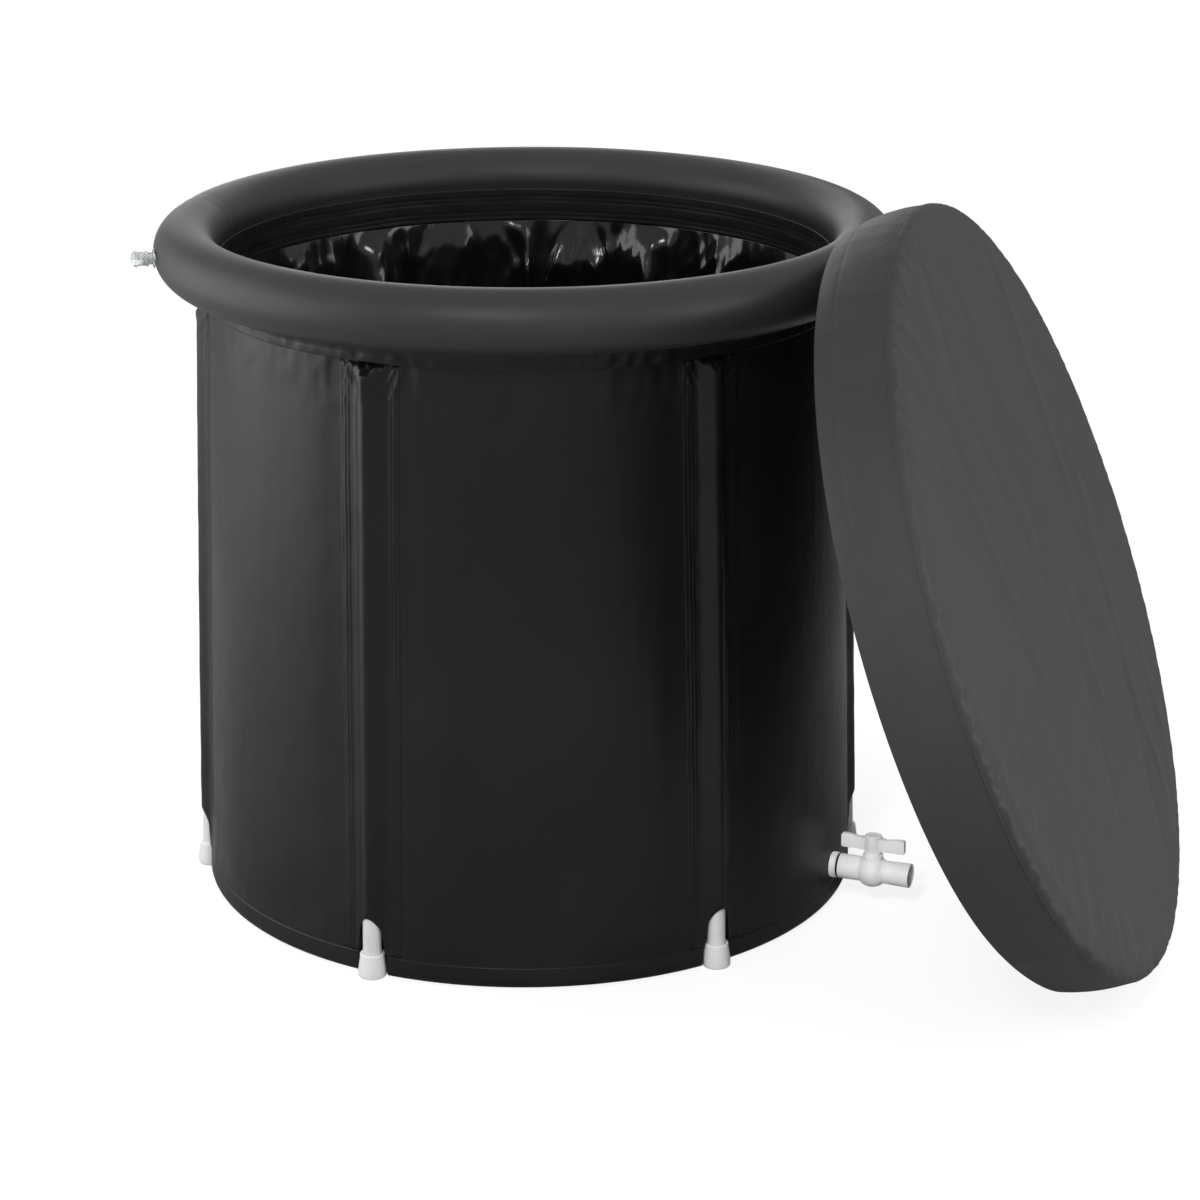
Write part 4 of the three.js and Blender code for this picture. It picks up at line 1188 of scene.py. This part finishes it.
@dataclass
class LeaningLid:
    """The padded soft lid, built flat about its own axis and then leant against the ring."""

    shop: Workshop
    place: Vector = Vector((468.923, -251.839, 384.892)) * MM
    across: Vector = Vector((0.2974, 0.9548, 0.0))
    uphill: Vector = Vector((-0.3406, 0.1061, 0.9342))
    normal: Vector = Vector((0.8919, -0.2778, 0.3567))
    radius: float = 412 * MM
    skirt_height: float = 74 * MM
    shoulder: float = 8 * MM
    crown: float = 5 * MM
    bulge: float = 3 * MM
    hem_height: float = 20 * MM
    lining_height: float = 64.5 * MM
    crease_count: int = 44
    roll_share: float = 0.18
    near_side: float = math.radians(185)
    rolled_side: float = math.radians(192)
    tucked_side: float = math.radians(232)
    welt: float = 1.1 * MM
    face_cut: float = 0.86
    face_area: float = 0.57
    lining_area: float = 0.53

    def __post_init__(self) -> None:
        """Works out the lid's frame and draws its long creases."""
        axes = Matrix((self.across, self.uphill, self.normal)).transposed()
        self.frame = Matrix.Translation(self.place) @ axes.to_4x4()
        draw = random.Random(11)
        self.creases = []
        for _ in range(self.crease_count):
            start = polar(self.radius * math.sqrt(draw.random()), TURN * draw.random(), 0)
            heading = math.radians(draw.uniform(-112, -70))
            length = draw.uniform(0.1, 0.4)
            depth = draw.uniform(-1.3, 1.9) * MM
            self.creases.append((start, heading, length, draw.uniform(6, 14) * MM, depth))

    def rumple(self, point: Vector) -> float:
        """The height of the long creases at a point of the face."""
        total = 0.0
        for start, heading, length, width, depth in self.creases:
            line = Vector((math.cos(heading), math.sin(heading), 0))
            offset = point - start
            along = offset.dot(line)
            aside = offset.x * line.y - offset.y * line.x + 0.012 * grain(point, 9.0, depth * 1e4)
            total += depth * bell(aside, width) * bell(along, length / 2)
        return total

    def skirt_radius(self, angle: float, z: float) -> float:
        """The skirt's radius, with its soft dents and the drawn cloth at the seam."""
        share = min(1.0, max(0.0, z / self.skirt_height))
        spot = polar(self.radius, angle, z)
        dents = 1.5 * MM * grain(Vector((spot.x, spot.y, 0.35 * z)), 11.0, 20.0)
        waves = 0.7 * MM * crease(Vector((spot.x, spot.y, 0.5 * z)), 30.0, 21.0)
        drawn = 0.7 * MM * bell(z - self.skirt_height + 4 * MM, 9 * MM)
        drawn *= crease(Vector((spot.x, spot.y, 0.6 * z)), 75.0, 22.0)
        hem = 0.6 * MM * bell(z - self.hem_height, 1.6 * MM) + 0.5 * MM * bell(z - 2 * MM, 2 * MM)
        seam = ease(z, self.skirt_height - 10 * MM, self.skirt_height)
        held = ease(z, 0.0, 0.02) * (1 - 0.75 * seam)
        swollen = self.radius + self.bulge * math.sin(math.pi * share)
        tucked = 9 * MM * bell(math.remainder(angle - self.tucked_side, TURN), 0.35) * (1 - share)
        return swollen + (dents + waves) * held - drawn - hem - tucked

    def skirt(self, u: float, v: float) -> Vector:
        """A point of the skirt."""
        z = v * self.skirt_height
        return polar(self.skirt_radius(TURN * u, z), TURN * u, z)

    def face(self, u: float, v: float) -> Vector:
        """A point of the padded face, from its seam to the middle."""
        angle = TURN * u
        seam = self.skirt_height + GAP
        edge = self.skirt_radius(angle, self.skirt_height)
        flat = edge - self.shoulder
        if v < self.roll_share:
            turn = v / self.roll_share * math.pi / 2
            out = flat + self.shoulder * math.cos(turn)
            z = seam + self.shoulder * math.sin(turn)
        else:
            share = (v - self.roll_share) / (1 - self.roll_share)
            out = flat * (1 - share)
            z = seam + self.shoulder + self.crown * (1 - (out / flat) ** 2)
        inset = edge - out
        spot = polar(out, angle, 0)
        slant = polar(self.radius, angle + 1.2 * inset, 0.35 * inset)
        pucker = (crease(slant, 55.0, 23.0) - 0.35) * ease(inset, 0.0, 0.004)
        near = mix(0.15, 1.0, ease(math.cos(angle - self.near_side), -0.2, 0.5))
        pucker *= 3.2 * MM * near * (1 - ease(inset, 0.008, 0.026))
        pulls = 1.4 * MM * crease(polar(self.radius, angle + 0.5 * inset, 0), 24.0, 24.0)
        pulls *= near * ease(inset, 0.006, 0.02) * (1 - ease(inset, 0.03, 0.12))
        lower_left = bell(math.remainder(angle - self.rolled_side, TURN), 0.8)
        roll = 2.2 * MM * bell(inset - 27 * MM, 6 * MM) - 1.6 * MM * bell(inset - 14 * MM, 7 * MM)
        inner = ease(inset, 0.012, 0.06)
        soft = 2.2 * MM * grain(spot, 6.0, 25.0) + 0.8 * MM * grain(spot, 28.0, 26.0)
        height = pucker + pulls + roll * lower_left + inner * (soft + self.rumple(spot))
        return polar(out, angle, z + height)

    def lining(self, u: float, v: float) -> Vector:
        """A point of the lining under the pad."""
        spot = polar((self.radius - 2 * MM) * v, TURN * u, self.lining_height)
        sag = 1.1 * MM * crease(spot, 8.0, 27.0) * ease(1 - v, 0.0, 0.1)
        return spot - Vector((0, 0, SKIN + sag))

    def stitched(self, point: Vector) -> Vector:
        """A point of the welt, drawn up or down by its stitches."""
        return point + Vector((0, 0, 0.35 * MM * grain(point, 120.0, 28.0)))

    def hem(self, u: float, v: float) -> Vector:
        """A point of the turned-in hem."""
        angle = -TURN * u
        z = v * self.hem_height
        return polar(self.skirt_radius(angle, z) - 2.9 * MM, angle, z)

    def build(self) -> None:
        """Makes the lid's pieces."""
        shop = self.shop
        skirt = shop.piece(
            Form.sheet(480, 34, self.skirt).move(self.frame), "lid_side", Finish.lid_cloth,
            Body.LID, "lid_skirt", wall=SKIN,
        )
        face = shop.piece(
            Form.sheet(720, 66, self.face).move(self.frame), "lid_face", Finish.lid_cloth,
            Body.LID, "lid_top_panel", wall=SKIN,
        )
        seam = self.radius - 0.6 * MM
        cord = [
            (seam + self.welt * math.cos(step), self.skirt_height + self.welt * math.sin(step))
            for step in (k * TURN / 10 for k in range(10))
        ]
        welt = Form.turned(cord, 360).reshape(self.stitched).move(self.frame)
        shop.piece(welt, "lid_welt", Finish.lid_cloth, Body.LID)
        hem = shop.piece(
            Form.sheet(240, 6, self.hem).move(self.frame), "lid_hem", Finish.lid_cloth, Body.LID,
            "lid_hem_band", wall=SKIN,
        )
        lining = shop.piece(
            Form.sheet(180, 30, self.lining).flip().move(self.frame), "lid_lining_sheet",
            Finish.lid_cloth, Body.LID, "lid_lining", wall=SKIN,
        )
        low = self.lining_height + GAP
        high = self.skirt_height + self.shoulder - 2.5 * MM
        edge = self.radius - self.shoulder - 2 * MM
        pad = [(0, low), (edge, low), (edge, high), (edge * 0.7, high + 2 * MM), (0, high + 4 * MM)]
        cushion = shop.piece(
            Form.turned(pad, 96).soften(3 * MM, 3).move(self.frame), "lid_pad",
            Finish.insulation_foam, Body.LID, "lid_foam_pad",
        )


@dataclass
class Studio:
    """The pale floor, the soft lights and the camera at the photograph's viewing angle."""

    camera_place: tuple[float, float, float] = (0.0802, -3.405, 1.461)
    camera_pitch: float = math.radians(90 - 18.73)
    lens: float = 96.16
    sensor: float = 36.0
    floor_size: float = 14.0
    floor_tones: tuple[float, float] = (0.4, 0.44)
    floor_glow: float = 1.7
    ambient: float = 0.2
    mirrored_share: float = 0.35
    target: Vector = Vector((0.1, 0, 0.4))

    def make_camera(self) -> None:
        """Makes the scene's camera."""
        data = bpy.data.cameras.new("view")
        data.lens = self.lens
        data.sensor_width = self.sensor
        camera = bpy.data.objects.new("view", data)
        camera.location = self.camera_place
        camera.rotation_euler = (self.camera_pitch, 0, 0)
        bpy.context.scene.collection.objects.link(camera)
        bpy.context.scene.camera = camera

    def make_floor(self) -> None:
        """Makes a pale floor that keeps the tub's shadow."""
        form = Form()
        bmesh.ops.create_grid(form.mesh, x_segments=8, y_segments=8, size=self.floor_size / 2)
        data = bpy.data.meshes.new("floor")
        form.mesh.to_mesh(data)
        floor = bpy.data.objects.new("floor", data)
        floor.location.z = -0.5 * MM
        bpy.context.scene.collection.objects.link(floor)
        material = bpy.data.materials.new("pale_floor")
        shader = Shader(material)
        where = shader.node("TexCoord", output="Object")
        dark, pale = ((tone, tone, tone) for tone in self.floor_tones)
        tones = shader.blend(shader.noise(0.8, 2.0, where), dark, pale)
        paint = shader.node("BsdfDiffuse", None, {"Color": tones})
        glow = shader.node("Emission", None, {"Color": (1, 1, 1, 1), "Strength": self.floor_glow})
        seen = shader.node("LightPath", output="Is Camera Ray")
        surface = shader.node("MixShader", None, {0: seen * 0.5, 1: paint, 2: glow})
        shader.node("OutputMaterial", None, {"Surface": surface})
        data.materials.append(material)

    def make_world(self) -> None:
        """Makes a background that is white to the camera and a soft level of light elsewhere."""
        world = bpy.data.worlds.new("studio")
        bpy.context.scene.world = world
        shader = Shader(world)
        seen = shader.node("LightPath", output="Is Camera Ray")
        through = shader.node("LightPath", output="Is Transmission Ray")
        mirrored = shader.node("LightPath", output="Is Glossy Ray")
        share = seen + through + mirrored * self.mirrored_share
        dim = shader.node("Background", None, {"Color": (1, 1, 1, 1), "Strength": self.ambient})
        white = shader.node("Background", None, {"Color": (1, 1, 1, 1), "Strength": 1.0})
        surface = shader.node("MixShader", None, {0: share, 1: dim, 2: white})
        shader.node("OutputWorld", None, {"Surface": surface})

    def hang_lamp(
        self, data: bpy.types.Light, place: Vector, target: Vector, power: float, mirrored: bool
    ) -> None:
        """Hangs a lamp that the camera doesn't see.

        Args:
            data: The lamp's settings.
            place: Where it hangs.
            target: What it points at.
            power: Its power in watts.
            mirrored: Whether glossy surfaces show it.
        """
        data.energy = power
        lamp = bpy.data.objects.new(data.name, data)
        lamp.location = place
        lamp.rotation_euler = (target - place).to_track_quat("-Z", "Y").to_euler()
        lamp.visible_camera = False
        lamp.visible_glossy = mirrored
        bpy.context.scene.collection.objects.link(lamp)

    def make_sky(self, strength: float, tilt: Sequence[float]) -> None:
        """Makes a very soft light from above that is even over the whole floor."""
        data = bpy.data.lights.new("overhead", "SUN")
        data.energy = strength
        data.angle = math.radians(100)
        lamp = bpy.data.objects.new("overhead", data)
        lamp.rotation_euler = tilt
        lamp.visible_glossy = False
        bpy.context.scene.collection.objects.link(lamp)

    def make_softbox(
        self,
        name: str,
        place: Sequence[float],
        size: Sequence[float],
        power: float,
        mirrored: bool = True,
    ) -> None:
        """Makes a soft lamp that faces the tub.

        Args:
            name: The lamp's name.
            place: Where its middle stands.
            size: Its width and height.
            power: Its power in watts.
            mirrored: Whether glossy surfaces show it.
        """
        data = bpy.data.lights.new(name, "AREA")
        data.shape = "RECTANGLE"
        data.size, data.size_y = size
        self.hang_lamp(data, Vector(place), self.target, power, mirrored)

    def make_snoot(self, place: Sequence[float], target: Sequence[float], power: float) -> None:
        """Makes a small soft spot that fills the shade where the drain valve sits."""
        data = bpy.data.lights.new("valve_fill", "SPOT")
        data.spot_size = math.radians(9)
        data.spot_blend = 1.0
        data.shadow_soft_size = 0.2
        self.hang_lamp(data, Vector(place), Vector(target), power, False)

    def build(self) -> None:
        """Makes the camera, the floor and the light."""
        self.make_camera()
        self.make_floor()
        self.make_world()
        self.make_sky(1.7, (math.radians(6), math.radians(14), 0))
        self.make_softbox("left_softbox", (-1.75, -0.1, 0.8), (2.2, 1.5), 22)
        self.make_softbox("right_softbox", (1.9, -1.0, 0.85), (1.3, 1.6), 16)
        self.make_softbox("high_softbox", (-0.6, -3.6, 3.2), (0.8, 0.8), 38)
        self.make_softbox("front_fill", (0.1, -2.9, 0.9), (1.2, 0.9), 9, mirrored=False)
        self.make_softbox("back_softbox", (-0.4, 2.4, 1.0), (1.6, 1.6), 12)
        self.make_snoot((-0.4, -2.4, 1.9), (0.4, -0.16, 0.05), 260)
        bpy.context.scene.view_settings.view_transform = "Standard"


def main() -> None:
    """Builds the tub in order and reports each piece."""
    logging.basicConfig(level=logging.INFO, format="%(name)s: %(message)s")
    shape = TubShape()
    shop = Workshop()
    Studio().build()
    SoftWall(shape, shop).build()
    InflatedRing(shape, shop).build()
    HungLiner(shape, shop).build()
    Poles(shape, shop).build()
    AirValve(shop).build()
    DrainValve(shop).build()
    LeaningLid(shop).build()
    log.info("solids left undressed: %s", sorted(shop.bare))


if __name__ == "__main__":
    main()
